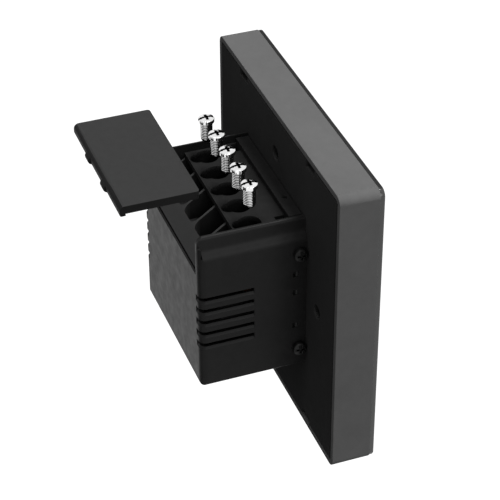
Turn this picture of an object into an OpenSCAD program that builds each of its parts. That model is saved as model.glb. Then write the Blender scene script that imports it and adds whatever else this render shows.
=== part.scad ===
// Smart wall panel, 86 mm square, with a back box for a wall box, shown with its
// terminal cover and its five terminal screws lifted out.
// X runs to the right seen from the front, the front faces -Y, Z points up.
// The origin is the centre of the wall-screw circle, on the plane that meets the wall.

/* [Front panel] */
// Width and height of the square front
panel_w = 86; // [84:1:92]
// Thickness of the front from the wall plane to the face of the glass
panel_t = 12; // [11.4:0.2:14]
// Wall of the square rim
rim_t = 1.6; // [1.2:0.1:2.2]
// Radius of the rim's four corners
rim_corner_r = 2.4; // [2:0.1:4]
// Thickness of the front glass
glass_t = 1.3; // [1:0.1:1.6]
// Round on the front edge of the glass
glass_edge_r = 0.9; // [0.5:0.1:1]
// Step from the rim's outside to the edge of the glass
glass_inset = 0.35; // [0.2:0.05:0.8]
// Ledge of the rim that the glass is bonded to, inwards
ledge_w = 1.2; // [0.8:0.1:1.6]
// Thickness of that ledge
ledge_t = 1; // [0.8:0.1:1.2]

/* [Mounting plate] */
// Thickness of the plate that is screwed to the wall box
plate_t = 2; // [1.6:0.1:2.4]
// Gap all round between the plate and the rim
plate_gap = 0.4; // [0.2:0.05:0.5]
// Circle on which the four wall-screw holes lie
hole_circle_d = 60.3; // [58:0.1:62]
// Diameter of each wall-screw hole
hole_d = 4.2; // [3.8:0.1:4.6]
// Room around the head of a wall screw
head_room_d = 9; // [8:0.5:10]
// Distance of the snap notches from the middle
notch_x = 23.8; // [20:0.1:27]
// Width of a snap notch
notch_w = 5.6; // [4.6:0.1:8]
// Depth of a snap notch from the plate's edge
notch_depth = 1.9; // [1.7:0.1:2.4]

/* [Back box] */
// Width of the back box
box_w = 46; // [46:0.5:50]
// Depth of the back box behind the wall plane
box_depth = 29.2; // [28.8:0.2:32]
// How far the back box reaches below the middle of the panel
box_below = 21.9; // [21.4:0.1:24]
// Height of the top edge of the rear wall above the middle
rear_top_z = 12.9; // [12.5:0.1:13.3]
// Height of the top edge of the two side walls above the middle
side_top_z = 24.4; // [24.2:0.1:25]
// Wall of the back box
box_wall = 1.8; // [1.5:0.1:2]
// Height at which the side walls start to lean in
shoulder_z = 17.7; // [16.5:0.1:18]
// Height over which they lean in
shoulder_rise = 3.5; // [3:0.1:3.8]
// How far they lean in
shoulder_inset = 1.45; // [1.2:0.05:1.6]
// Wall above the shoulder
upper_wall = 1.1; // [0.9:0.1:1.2]
// Radius of the upright rear corners
box_corner_r = 2; // [1.5:0.1:2.6]
// Radius of the lower rear edge
box_heel_r = 0.6; // [0.5:0.1:3]

/* [Vents] */
// Number of vent slots on each side
vent_count = 5; // [3:1:5]
// Distance from one vent slot to the next
vent_pitch = 3.65; // [3:0.05:3.7]
// Height of a vent slot
vent_h = 2; // [1.2:0.1:2]
// Height of the middle of the top slot
vent_top_z = 5.7; // [5:0.1:6]
// Where the slots start behind the wall plane
vent_front_y = 14.4; // [12:0.2:17]
// How far the slots run round onto the rear wall
vent_wrap = 2.9; // [2.6:0.1:4]

/* [Terminals] */
// Distance from one terminal to the next
pole_pitch = 8.2; // [7.9:0.1:8.2]
// Height of the terminal deck
deck_z = 22.2; // [21.9:0.1:22.2]
// Thickness of the terminal deck
deck_t = 1.5; // [1.2:0.1:1.7]
// Height of the ledge along the front of the deck
ledge_rise = 1.8; // [1.4:0.1:1.9]
// Depth of that ledge from the wall plane
ledge_end_y = 3.8; // [3:0.1:4.4]
// Where the deck ends behind the wall plane
deck_rear_y = 18.2; // [17.8:0.1:18.6]
// Where the terminal screws stand behind the wall plane
screw_y = 13.2; // [13:0.1:13.6]
// Thickness of the webs between the wire bays
web_t = 0.8; // [0.6:0.1:1]
// Radius of the round corners at the end of a wire bay
bay_corner_r = 1.8; // [1:0.1:3]
// Where a wire bay ends behind the wall plane
bay_end_y = 24.4; // [24:0.1:25]
// Height of the floor of the clamp rooms
bay_floor_z = 11.2; // [10.9:0.1:11.5]
// Wall of a clamp
clamp_wall = 0.9; // [0.7:0.1:1.1]
// Depth of a clamp, front to back
clamp_depth = 7.2; // [6.6:0.1:7.4]
// Height of a clamp
clamp_h = 6.3; // [6.1:0.1:6.4]

/* [Terminal screws] */
// Diameter of a screw head
head_d = 4.3; // [3.8:0.1:4.4]
// Height of a screw head
head_h = 1.5; // [1.3:0.1:1.6]
// Diameter over the thread
shank_d = 3.3; // [2.9:0.1:3.4]
// Whole length of a screw
screw_len = 7; // [6.6:0.1:7.2]
// Height of the head's top with the screw lifted out
screw_lifted_z = 34.7; // [34.5:0.1:35.4]

/* [Terminal cover] */
// Depth of the cover, front to back
cover_depth = 20.5; // [19.5:0.1:20.5]
// Height of the cover's skirt
cover_h = 2.2; // [2:0.1:2.2]
// Wall of the cover
cover_wall = 1; // [0.8:0.1:1.1]
// Round on the rear edge of the cover
cover_edge_r = 1.4; // [0.8:0.1:1.6]
// Height of the lip along the rear edge
lip_h = 2.8; // [2.6:0.1:3]
// Where the rear edge of the cover lies with the cover lifted off
cover_lifted_y = 48; // [46:0.5:50]
// Height of the top of the cover with the cover lifted off
cover_lifted_z = 37.8; // [37.6:0.1:40]
// Distance of the two finger nubs from the middle
nub_x = 6.7; // [5:0.1:9]
// Width of a finger nub
nub_w = 4.6; // [3.5:0.1:5]

/* [Display] */
// Black border between the edge of the glass and the display cell
cell_border = 4.6; // [4.2:0.1:8]
// Thickness of the display cell
cell_t = 1; // [0.8:0.1:1]
// Thickness of the backlight tray
tray_t = 1.8; // [1.5:0.1:1.8]
// Wall of the inner chassis
chassis_wall = 1.3; // [1:0.1:1.4]
// Width and height of the main board
main_board_w = 50; // [48:1:52]
// Thickness of the main board
main_board_t = 1.2; // [1:0.1:1.2]

/* [Power board] */
// Thickness of the power board
power_board_t = 1.6; // [1.2:0.1:1.6]
// How far the power board stands behind the wall plane
power_board_y = 5; // [4.8:0.1:5.2]
// Width of a relay
relay_w = 10.2; // [9.6:0.1:10.4]
// Length of a relay
relay_len = 18.2; // [17:0.2:18.4]
// Height of a relay above the board
relay_h = 15.3; // [14:0.1:16]
// Diameter of the storage capacitor
capacitor_d = 8; // [7:0.5:8]
// Number of pins in each row of the board link
link_pins = 8; // [6:1:8]

/* [Hidden] */
$fn = 48;

charcoal = [0.27, 0.27, 0.28];
black_plastic = [0.13, 0.13, 0.14];
glass_black = [0.04, 0.04, 0.05];
board_green = [0.08, 0.3, 0.2];
brass = [0.75, 0.6, 0.3];
dark_steel = [0.3, 0.29, 0.28];
chrome = [0.85, 0.85, 0.86];
tin = [0.7, 0.71, 0.72];

// Small clearances that fits share
fit_gap = 0.2;
touch_gap = 0.15;
thread_gap = 0.05;
skim = 1;

// Front panel, from the face of the glass back to the wall plane
bezel_t = panel_t - glass_t;
opening_w = panel_w - 2 * rim_t;
least_r = 0.4;
opening_r = max(rim_corner_r - rim_t, least_r);
glass_w = panel_w - 2 * glass_inset;
cell_w = glass_w - 2 * cell_border;
cell_rear_y = -bezel_t + cell_t;
cell_corner_r = 0.8;
tray_rim = 0.5;
tray_w = cell_w + 2 * tray_rim;
tray_corner_r = 1;
dent_t = 0.4;
dent_w = tray_w * 0.7;
dent_h = tray_w * 0.3;
dent_corner_r = 2;
tray_rear_y = cell_rear_y + tray_t;
chassis_w = opening_w - 2 * fit_gap;
chassis_front_y = -bezel_t + ledge_t;
chassis_web_t = 1;
chassis_in_w = chassis_w - 2 * chassis_wall;
chassis_in_r = 0.6;
chassis_web_y = max(tray_rear_y, chassis_front_y);
plate_front_room = 0.3;
standoff_h = 1.7;
standoff_d = 4.6;
board_hole_inset = 4;
board_hole_xz = main_board_w / 2 - board_hole_inset;
main_board_y = chassis_web_y + chassis_web_t + standoff_h;
main_board_rear_y = main_board_y + main_board_t;
board_corner_r = 1.5;
screw_play = 0.4;
thread_play = 0.1;
small_screw_d = 2;
small_head_d = 3.8;
small_head_h = 1.2;

// Mounting plate
plate_w = opening_w - 2 * plate_gap;
plate_r = max(opening_r - plate_gap, 0.3);
hole_angles = [0, 90, 180, 270];
head_recess = 0.8;
tongue_play = 0.6;
tongue_w = notch_w - 2 * tongue_play;
tongue_t = 1.1;
tongue_inset = 0.2;
tongue_end_y = -1.2;
lug_t = 1.5;
lug_w = 5;
lug_h = 4.4;
side_screw_y = 2.05;
side_screw_z = [14.5, -15.9];
side_screw_d = 1.8;
side_head_d = 3.7;
side_head_h = 1.9;
catch_z = [7.9, 2.1, -8.6];
catch_w = 1.4;
catch_y = 2.5;
catch_h = 1.2;
catch_tip_h = 0.5;
catch_inset = 0.1;
catch_margin = 0.5;
catch_play = 0.12;
post_d = 4.2;
post_from_wall = 3.5;
post_from_floor = 3.2;
upper_post_z = 7.2;
post_x = box_w / 2 - box_wall - post_from_wall;
post_z = [upper_post_z, -box_below + box_wall + post_from_floor];
post_pilot_d = 1.6;
post_head_d = 3;
post_screw_y = 1;

// Back box
box_half = box_w / 2;
box_in_half = box_half - box_wall;
upper_half = box_half - shoulder_inset;
seat_half = upper_half - upper_wall;
upper_z = shoulder_z + shoulder_rise;
top_edge_r = 0.9;
box_foot_r = 0.5;
rear_in_y = box_depth - box_wall;
rear_lip = 0.55;
rebate_h = 1.4;
strip_t = 0.8;
strip_groove = 0.35;
strip_top_z = upper_z + 0.4;
shelf_front_y = 9;
shelf_w = 1.3;
shelf_t = 1.2;

// Terminal block, which drops in between the two side walls
pole_count = 5;
pole_mid = (pole_count + 1) / 2;
function pole_x(i) = (pole_mid - i) * pole_pitch;
block_half = seat_half - touch_gap;
block_skin = 0.7;
bay_floor_t = 1.4;
block_base_z = bay_floor_z - bay_floor_t;
block_rear_y = rear_in_y - touch_gap;
block_nose_y = box_depth - rear_lip - touch_gap;
block_front_y = 0.3;
clamp_play = 0.1;
bay_front_y = screw_y - clamp_depth / 2 - clamp_play;
bay_wall = 0.8;
bay_half = (pole_pitch - web_t) / 2;
deck_under_z = deck_z - deck_t;
ramp_drop = (deck_under_z - rear_top_z) / (box_depth - deck_rear_y);
function ramp_z(y) = deck_under_z - ramp_drop * (y - deck_rear_y);
bay_step_h = 1.2;
bay_pocket_z = bay_floor_z + bay_step_h;
well_d = head_d + 1.9;
well_tail_d = 4;
well_rim = 0.35;
well_tail_y = deck_rear_y - well_tail_d / 2 - well_rim;
ledge_gap = 0.6;
ledge_hole_d = 1.4;
ledge_hole_x = -11.1;
ledge_hole_y = 1.6;
pocket_w = 4.2;
pocket_end_y = 6.5;
tail_slot_play = 0.2;
rebate_play = 0.1;

// Steel clamps and the tails that are soldered into the power board
clamp_side_gap = 0.6;
clamp_half = bay_half - clamp_side_gap;
clamp_front_y = screw_y - clamp_depth / 2;
clamp_base_z = bay_floor_z;
clamp_hole_d = shank_d + 2 * thread_gap;
tail_w = 1.4;
tail_t = 0.8;
tail_rise = 2.4;
tail_z = bay_floor_z + tail_rise;
tail_stand_out = 0.8;
tail_end_y = power_board_y - tail_stand_out;

// Terminal screws
recess_depth = 0.8;
recess_w = 0.7;
recess_len = 2.4;
slot_len = head_d + skim;
dome_r = head_d * 1.2;
head_rim_h = 0.9;
tip_len = 0.6;

// Terminal cover
cover_half = seat_half - fit_gap;
cover_front_y = cover_lifted_y - cover_depth;
cover_corner_r = 0.8;
cover_foot_r = 0.45;
lip_t = 1.5;
nub_r = 1.1;
nub_out = 0.6;
nub_drop = 0.5;

// Power board and the parts on it
board_side_gap = 0.3;
board_floor_gap = 0.5;
board_top_gap = 1;
tail_play = 0.1;
power_half = block_half - block_skin - board_side_gap;
power_low_z = -box_below + box_wall + board_floor_gap;
power_top_z = deck_under_z - board_top_gap;
power_rear_y = power_board_y + power_board_t;
relay_gap = 0.7;
relay_mid_z = power_low_z + 0.3 + relay_len / 2;
relay_r = 0.6;
upper_row_z = relay_mid_z + relay_len / 2 + 0.7;
upper_row_h = block_base_z - upper_row_z - 0.4;
link_pitch = 2.54;
link_z = -6;
link_body_w = link_pins * link_pitch + 1;
link_body_h = 5.6;
link_pin_w = 0.64;
link_bore_half = link_pin_w / 2 + 0.12;
link_window_play = 0.5;
link_window_r = 0.8;
link_floor_t = 1;
link_pin_end_y = 1.2;
link_base_t = main_board_rear_y < -3 ? 1.4 : 1;
socket_front_y = -1.7;

// Solids along the axes from flat outlines

// Extrudes an X-Z outline along Y, from y0 over the depth d
module along_y(y0, d) {
    translate([0, y0 + d, 0])
        rotate([90, 0, 0])
            linear_extrude(d)
                children();
}

// Extrudes a Y-Z outline along X, from x0 over the width w
module along_x(x0, w) {
    translate([x0, 0, 0])
        rotate([90, 0, 90])
            linear_extrude(w)
                children();
}

// Rectangle with round corners, centred
module rounded_rect(w, h, r) {
    square([w, h - 2 * r], center = true);
    square([w - 2 * r, h], center = true);
    for (sx = [-1, 1], sy = [-1, 1])
        translate([sx * (w / 2 - r), sy * (h / 2 - r)])
            circle(r);
}

// Rectangle from a lower left corner, with the two corners at its high X rounded
module rounded_end(x0, y0, w, h, r_low, r_high) {
    difference() {
        translate([x0, y0])
            square([w, h]);
        translate([x0 + w - r_low, y0 - skim])
            square([r_low + skim, r_low + skim]);
        translate([x0 + w - r_high, y0 + h - r_high])
            square([r_high + skim, r_high + skim]);
    }
    translate([x0 + w - r_low, y0 + r_low])
        circle(r_low);
    translate([x0 + w - r_high, y0 + h - r_high])
        circle(r_high);
}

// Box between two corners
module block_between(low, high) {
    translate(low)
        cube(high - low);
}

// Places its children at both sides, mirrored about the middle plane
module both_sides() {
    children();
    mirror([1, 0, 0])
        children();
}

// Cylinder along Y from y0 over the length l, at x and z
module rod_y(x, z, y0, l, d) {
    translate([x, y0, z])
        rotate([-90, 0, 0])
            cylinder(h = l, d = d);
}

// Cylinder along X from x0 over the length l, at y and z
module rod_x(y, z, x0, l, d) {
    translate([x0, y, z])
        rotate([0, 90, 0])
            cylinder(h = l, d = d);
}

recess_len_share = 0.62;
recess_w_share = 0.17;
recess_depth_share = 0.4;

// Pan head with a cross recess, its flat under-face on z = 0, pointing up
module pan_head(d, h) {
    difference() {
        rotate_extrude()
            intersection() {
                translate([0, h - d])
                    circle(d);
                square([d / 2, h]);
            }
        for (a = [0, 90])
            rotate(a)
                translate([0, 0, h])
                    cube([d * recess_len_share, d * recess_w_share, 2 * h * recess_depth_share], center = true);
    }
}

// Front panel

// Square rim of the front, with the ledge that the glass is bonded to
module front_bezel() {
    color(charcoal)
        difference() {
            along_y(-bezel_t, bezel_t)
                rounded_rect(panel_w, panel_w, rim_corner_r);
            along_y(-bezel_t + ledge_t, bezel_t)
                rounded_rect(opening_w, opening_w, opening_r);
            along_y(-bezel_t - skim, bezel_t)
                rounded_rect(opening_w - 2 * ledge_w, opening_w - 2 * ledge_w, opening_r);
        }
}

// Section of the glass from its middle out to its edge, the face on Y = 0
module glass_edge_outline(reach) {
    intersection() {
        square([reach, glass_t]);
        union() {
            square([reach - glass_edge_r, glass_t]);
            translate([0, glass_edge_r])
                square([reach, glass_t]);
            translate([reach - glass_edge_r, glass_edge_r])
                circle(glass_edge_r);
        }
    }
}

// Front glass: a flat back, and a front edge rounded along the sides and round the corners
module front_glass() {
    half = glass_w / 2;
    corner_r = max(rim_corner_r - glass_inset, glass_edge_r + least_r / 2);
    color(glass_black)
        for (a = hole_angles)
            rotate([0, a, 0]) {
                translate([half - corner_r, -panel_t, 0])
                    rotate([0, -90, 0])
                        linear_extrude(glass_w - 2 * corner_r)
                            glass_edge_outline(half);
                translate([half - corner_r, -panel_t, half - corner_r])
                    rotate([-90, 0, 0])
                        rotate_extrude()
                            glass_edge_outline(corner_r);
            }
}

// Display cell, bonded to the back of the glass
module display_cell() {
    color([0.1, 0.1, 0.13])
        along_y(-bezel_t, cell_t)
            rounded_rect(cell_w, cell_w, cell_corner_r);
}

// Pressed tray with the backlight, folded up round its edge
module backlight_tray() {
    color(tin)
        difference() {
            along_y(cell_rear_y, tray_t)
                rounded_rect(tray_w, tray_w, tray_corner_r);
            for (z = [-1, 1])
                along_y(tray_rear_y - dent_t, skim)
                    translate([0, z * tray_w / 4])
                        rounded_rect(dent_w, dent_h, dent_corner_r);
        }
}

// Places its children at the four board screws
module at_board_corners() {
    for (x = [-1, 1], z = [-1, 1])
        translate([x * board_hole_xz, 0, z * board_hole_xz])
            children();
}

ribbon_window_play = 1.5;
ribbon_window_r = 1;

// Inner chassis: a ring inside the rim, a web behind the display, and four snap tongues
module inner_chassis() {
    color(black_plastic)
        difference() {
            union() {
                difference() {
                    along_y(chassis_front_y, -plate_t - plate_front_room - chassis_front_y)
                        rounded_rect(chassis_w, chassis_w, opening_r);
                    along_y(chassis_front_y - skim, panel_t)
                        rounded_rect(chassis_in_w, chassis_in_w, chassis_in_r);
                }
                along_y(chassis_web_y, chassis_web_t)
                    square(chassis_w - chassis_wall, center = true);
                at_board_corners()
                    rod_y(0, 0, chassis_web_y, chassis_web_t + standoff_h, standoff_d);
                for (x = [-1, 1], z = [-1, 1])
                    snap_tongue(x, z);
            }
            at_board_corners()
                rod_y(0, 0, chassis_web_y - skim, panel_t, small_screw_d);
            for (a = hole_angles)
                rotate([0, a, 0])
                    rod_y(hole_circle_d / 2, 0, chassis_web_y - skim, panel_t, head_room_d);
            along_y(chassis_web_y - skim, chassis_web_t + 2 * skim)
                translate([0, ribbon_low_z + ribbon_window_h / 2])
                    rounded_rect(ribbon_w + 2 * ribbon_window_play, ribbon_window_h, ribbon_window_r);
        }
}

// Tongue that reaches back through a notch of the mounting plate
module snap_tongue(side_x, side_z) {
    tongue_out = chassis_w / 2 - tongue_inset;
    tongue_front_y = -plate_t - plate_front_room - skim;
    along_y(tongue_front_y, tongue_end_y - tongue_front_y)
        translate([side_x * notch_x, side_z * (tongue_out - tongue_t / 2)])
            square([tongue_w, tongue_t], center = true);
}

// Main board, screwed to the standoffs of the chassis
module main_board() {
    color(board_green)
        difference() {
            along_y(main_board_y, main_board_t)
                rounded_rect(main_board_w, main_board_w, board_corner_r);
            at_board_corners()
                rod_y(0, 0, main_board_y - skim, main_board_t + 2 * skim, small_screw_d + screw_play);
        }
}

// Screws of the main board
module main_board_screws() {
    color(tin)
        at_board_corners() {
            translate([0, main_board_rear_y, 0])
                rotate([-90, 0, 0])
                    pan_head(small_head_d, small_head_h);
            rod_y(0, 0, chassis_web_y + thread_play, main_board_rear_y - chassis_web_y, small_screw_d - thread_play);
        }
}

shield_w = 20;
shield_h = 16;
shield_t = 1.3;
shield_corner_r = 0.8;
shield_from_side = 7;
shield_from_top = 6;
shield_x = main_board_w / 2 - shield_w / 2 - shield_from_side;
shield_z = main_board_w / 2 - shield_h / 2 - shield_from_top;

// Pressed screening can over the processor, open towards the board
module shield_can() {
    sheet = 0.3;
    color(tin)
        translate([shield_x, 0, shield_z])
            difference() {
                along_y(main_board_rear_y, shield_t)
                    rounded_rect(shield_w, shield_h, shield_corner_r);
                along_y(main_board_rear_y - skim, shield_t + skim - sheet)
                    rounded_rect(shield_w - 2 * sheet, shield_h - 2 * sheet, shield_corner_r - sheet);
            }
}

radio_w = 12;
radio_h = 14;
radio_from_side = 6;
radio_from_top = 8;
radio_x = -main_board_w / 2 + radio_w / 2 + radio_from_side;
radio_z = main_board_w / 2 - radio_h / 2 - radio_from_top;

// Radio module: a small board with its own can and a bare aerial end
module radio_module() {
    board_t = 0.6;
    can_t = 0.9;
    can_margin = 0.5;
    can_r = 0.6;
    aerial_h = 4;
    translate([radio_x, 0, radio_z]) {
        color(board_green)
            along_y(main_board_rear_y, board_t)
                square([radio_w, radio_h], center = true);
        color(tin)
            along_y(main_board_rear_y + board_t, can_t)
                translate([0, -aerial_h / 2])
                    rounded_rect(radio_w - 2 * can_margin, radio_h - aerial_h - 2 * can_margin, can_r);
    }
}

ribbon_w = 12;
ribbon_t = 0.25;
ribbon_reach = 6;
ribbon_low_z = -main_board_w / 2 - ribbon_reach;
ribbon_window_h = 5;
ribbon_overlap = 4;

// Ribbon from the display round to the front of the main board
module display_ribbon() {
    fold_z = ribbon_low_z + ribbon_window_h / 2;
    color([0.7, 0.45, 0.15])
        along_x(-ribbon_w / 2, ribbon_w)
            polygon([
                [tray_rear_y, fold_z - ribbon_t],
                [main_board_y, fold_z - ribbon_t],
                [main_board_y, -main_board_w / 2 + ribbon_overlap],
                [main_board_y - ribbon_t, -main_board_w / 2 + ribbon_overlap],
                [main_board_y - ribbon_t, fold_z],
                [tray_rear_y, fold_z]
            ]);
}

// Places its children at each pin of the two-row board link
module at_link_pins() {
    for (i = [0 : link_pins - 1], row = [-1, 1])
        translate([(i - (link_pins - 1) / 2) * link_pitch, 0, link_z + row * link_pitch / 2])
            children();
}

// Plug of the board link: pins that reach back from the main board
module link_plug() {
    color(black_plastic)
        along_y(main_board_rear_y, link_base_t)
            translate([0, link_z])
                square([link_pins * link_pitch, 2 * link_pitch], center = true);
    color(brass)
        at_link_pins()
            block_between(
                [-link_pin_w / 2, main_board_rear_y, -link_pin_w / 2],
                [link_pin_w / 2, link_pin_end_y, link_pin_w / 2]);
}

// Mounting plate and back box

// Mounting plate with its holes, notches, and the lugs, catches and posts inside the box
module mounting_plate() {
    color(black_plastic)
        difference() {
            union() {
                along_y(-plate_t, plate_t)
                    rounded_rect(plate_w, plate_w, plate_r);
                both_sides() {
                    for (z = side_screw_z)
                        plate_lug(z, lug_w);
                    for (z = catch_z)
                        plate_catch(z);
                    for (z = post_z)
                        rod_y(post_x, z, -plate_t / 2, power_board_y + plate_t / 2, post_d);
                }
            }
            for (a = hole_angles)
                rotate([0, a, 0]) {
                    rod_y(hole_circle_d / 2, 0, -plate_t - skim, plate_t + 2 * skim, hole_d);
                    rod_y(hole_circle_d / 2, 0, -plate_t - skim, skim + head_recess, head_room_d);
                }
            for (x = [-1, 1], z = [-1, 1])
                along_y(-plate_t - skim, plate_t + 2 * skim)
                    translate([x * notch_x, z * (plate_w / 2 + skim - notch_depth / 2 - skim / 2)])
                        square([notch_w, notch_depth + skim], center = true);
            along_y(-plate_t - skim, plate_t + 2 * skim)
                translate([0, link_z])
                    rounded_rect(link_body_w + 2 * link_window_play, link_body_h + 2 * link_window_play, link_window_r);
            both_sides() {
                for (z = side_screw_z)
                    rod_x(side_screw_y, z, box_in_half - lug_t - skim, lug_t + 2 * skim, side_screw_d + thread_play);
                for (z = post_z)
                    rod_y(post_x, z, 0, power_board_y + skim, post_pilot_d);
            }
        }
}

// Upright lug inside the side wall of the box, for a side screw
module plate_lug(z, w) {
    block_between(
        [box_in_half - touch_gap - lug_t, -plate_t / 2, z - w / 2],
        [box_in_half - touch_gap, lug_h, z + w / 2]);
}

// Catch that reaches out into a window at the foot of the side wall
module plate_catch(z) {
    nose_out = box_half - catch_inset;
    plate_lug(z, catch_w + 2 * catch_margin);
    along_z_prism(z - catch_w / 2, catch_w)
        polygon([
            [box_in_half - lug_t, catch_y],
            [nose_out, catch_y],
            [nose_out, catch_y + catch_tip_h],
            [box_in_half - lug_t, catch_y + catch_h]
        ]);
}

// Extrudes an X-Y outline along Z, from z0 over the height h
module along_z_prism(z0, h) {
    translate([0, 0, z0])
        linear_extrude(h)
            children();
}

// Right half of the shoulder's outline: a round that leans in, then a hollow that ends upright
module shoulder_half(half, upper) {
    lean = half - upper;
    bend_r = (shoulder_rise * shoulder_rise + lean * lean) / (4 * lean);
    translate([0, shoulder_z])
        square([half - bend_r, shoulder_rise / 2]);
    intersection() {
        translate([half - bend_r, shoulder_z])
            circle(bend_r);
        translate([0, shoulder_z])
            square([half, shoulder_rise / 2]);
    }
    difference() {
        translate([0, shoulder_z + shoulder_rise / 2])
            square([half - lean / 2, shoulder_rise / 2]);
        translate([upper + bend_r, upper_z])
            circle(bend_r);
    }
}

// X-Z outline of the box: a foot with round corners, leaning shoulders and an upright top
module box_front_outline(inset, upper, floor_z, foot_r, top_z, top_r) {
    half = box_half - inset;
    for (s = [-1, 1])
        translate([s * (half - foot_r), floor_z + foot_r])
            circle(foot_r);
    translate([-half + foot_r, floor_z])
        square([2 * (half - foot_r), foot_r]);
    translate([-half, floor_z + foot_r])
        square([2 * half, shoulder_z - floor_z - foot_r]);
    for (m = [0, 1])
        mirror([m, 0])
            shoulder_half(half, upper);
    translate([-upper, upper_z])
        square([2 * upper, top_z - top_r - upper_z]);
    translate([-upper + top_r, upper_z])
        square([2 * (upper - top_r), top_z - upper_z]);
    for (s = [-1, 1])
        translate([s * (upper - top_r), top_z - top_r])
            circle(top_r);
}

// Outer form of the back box, round at its foot, its heel and its upright corners,
// with a full-width strip up its rear corners beside the shoulders
module box_form() {
    intersection() {
        union() {
            along_y(0, box_depth)
                box_front_outline(0, upper_half, -box_below, box_foot_r, side_top_z, top_edge_r);
            block_between(
                [-box_half, box_depth - strip_t, shoulder_z],
                [box_half, box_depth, strip_top_z]);
        }
        along_x(-box_half, box_w)
            rounded_end(0, -box_below, box_depth, box_below + side_top_z, box_heel_r, box_corner_r);
        along_z_prism(-box_below, box_below + side_top_z)
            rotate([0, 0, 90])
                rounded_end(0, -box_half, box_depth, box_w, box_corner_r, box_corner_r);
    }
}

// Room inside the back box, open to the plate and at the top
module box_room() {
    inner_r = max(box_corner_r - box_wall, least_r);
    intersection() {
        along_y(-skim, rear_in_y + skim)
            box_front_outline(box_wall, seat_half, -box_below + box_wall, inner_r, side_top_z + 2 * skim, inner_r);
        along_z_prism(-box_below, box_below + side_top_z + skim)
            rotate([0, 0, 90])
                rounded_end(-skim, -box_half, rear_in_y + skim, box_w, inner_r, inner_r);
    }
}

// Vent slots that run along one side wall and round the upright corner
module vent_slots() {
    for (i = [0 : vent_count - 1])
        translate([box_half - vent_wrap, vent_front_y, vent_top_z - i * vent_pitch - vent_h / 2])
            cube([vent_wrap + skim, box_depth, vent_h]);
}

// Shelf inside the side wall that the terminal block stands on
module block_shelf() {
    block_between(
        [box_in_half - shelf_w, shelf_front_y, block_base_z - shelf_t],
        [box_in_half + box_wall / 2, rear_in_y + box_wall / 2, block_base_z]);
}

// Back box: one moulding with vents, an open terminal seat and thin upper side walls
module box_housing() {
    color(charcoal)
        difference() {
            union() {
                difference() {
                    box_form();
                    box_room();
                }
                both_sides()
                    block_shelf();
            }
            block_between([-seat_half, rear_in_y - skim, rear_top_z], [seat_half, box_depth + skim, side_top_z + skim]);
            block_between(
                [-seat_half, rear_in_y - skim, rear_top_z - rebate_h],
                [seat_half, box_depth - rear_lip, rear_top_z + skim]);
            both_sides() {
                vent_slots();
                block_between(
                    [upper_half, box_depth - strip_t - strip_groove, shoulder_z + shoulder_rise / 4],
                    [box_half + skim, box_depth - strip_t, strip_top_z + skim]);
                for (z = side_screw_z)
                    rod_x(side_screw_y, z, box_in_half - skim, box_wall + 2 * skim, side_screw_d + screw_play);
                for (z = catch_z)
                    block_between(
                        [box_in_half - skim, catch_y - catch_play, z - catch_w / 2 - catch_play],
                        [box_half + skim, catch_y + catch_h + catch_play, z + catch_w / 2 + catch_play]);
            }
        }
}

// Four small screws through the foot of the side walls into the plate's lugs
module box_screws() {
    color(tin)
        both_sides()
            for (z = side_screw_z) {
                translate([box_half, side_screw_y, z])
                    rotate([0, 90, 0])
                        pan_head(side_head_d, side_head_h);
                rod_x(side_screw_y, z, box_in_half - lug_t, box_wall + lug_t, side_screw_d);
            }
}

// Terminal block, clamps, screws and cover

// Y-Z outline of the block: deck, ramp, and a nose that lies on the rear wall
module block_outline() {
    polygon([
        [bay_front_y - bay_wall, block_base_z],
        [bay_front_y - bay_wall, deck_under_z],
        [block_front_y, deck_under_z],
        [block_front_y, deck_z],
        [deck_rear_y, deck_z],
        [deck_rear_y, deck_under_z],
        [block_nose_y, ramp_z(block_nose_y)],
        [block_nose_y, rear_top_z - rebate_h + rebate_play],
        [block_rear_y, rear_top_z - rebate_h + rebate_play],
        [block_rear_y, block_base_z]
    ]);
}

// Room for one clamp and the round-cornered pocket where its wire comes in
module wire_bay(i) {
    low_x = max(pole_x(i) - bay_half, -block_half + block_skin);
    high_x = min(pole_x(i) + bay_half, block_half - block_skin);
    block_between([low_x, bay_front_y, bay_floor_z], [high_x, deck_rear_y + skim, deck_under_z]);
    pocket_front_y = deck_rear_y - 2 * bay_corner_r;
    intersection() {
        translate([(low_x + high_x) / 2, (pocket_front_y + bay_end_y) / 2, bay_pocket_z])
            linear_extrude(deck_z)
                rounded_rect(high_x - low_x, bay_end_y - pocket_front_y, bay_corner_r);
        block_between([low_x, deck_rear_y, bay_pocket_z], [high_x, box_depth, bay_pocket_z + deck_z]);
    }
}

// Well for one screw head, with a narrow tail towards the wires
module screw_well(i) {
    translate([pole_x(i), 0, deck_under_z - skim])
        linear_extrude(deck_t + 2 * skim) {
            translate([0, screw_y])
                circle(d = well_d);
            translate([0, well_tail_y])
                circle(d = well_tail_d);
            translate([-well_tail_d / 2, screw_y])
                square([well_tail_d, well_tail_y - screw_y]);
        }
}

// Ledge along the front of the deck, with a small hole for a test probe
module front_ledge() {
    ledge_half = block_half - ledge_gap;
    difference() {
        block_between(
            [-ledge_half, block_front_y, deck_under_z],
            [ledge_half, ledge_end_y, deck_z + ledge_rise]);
        translate([ledge_hole_x, ledge_hole_y, deck_z])
            cylinder(h = ledge_rise + skim, d = ledge_hole_d);
    }
}

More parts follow.
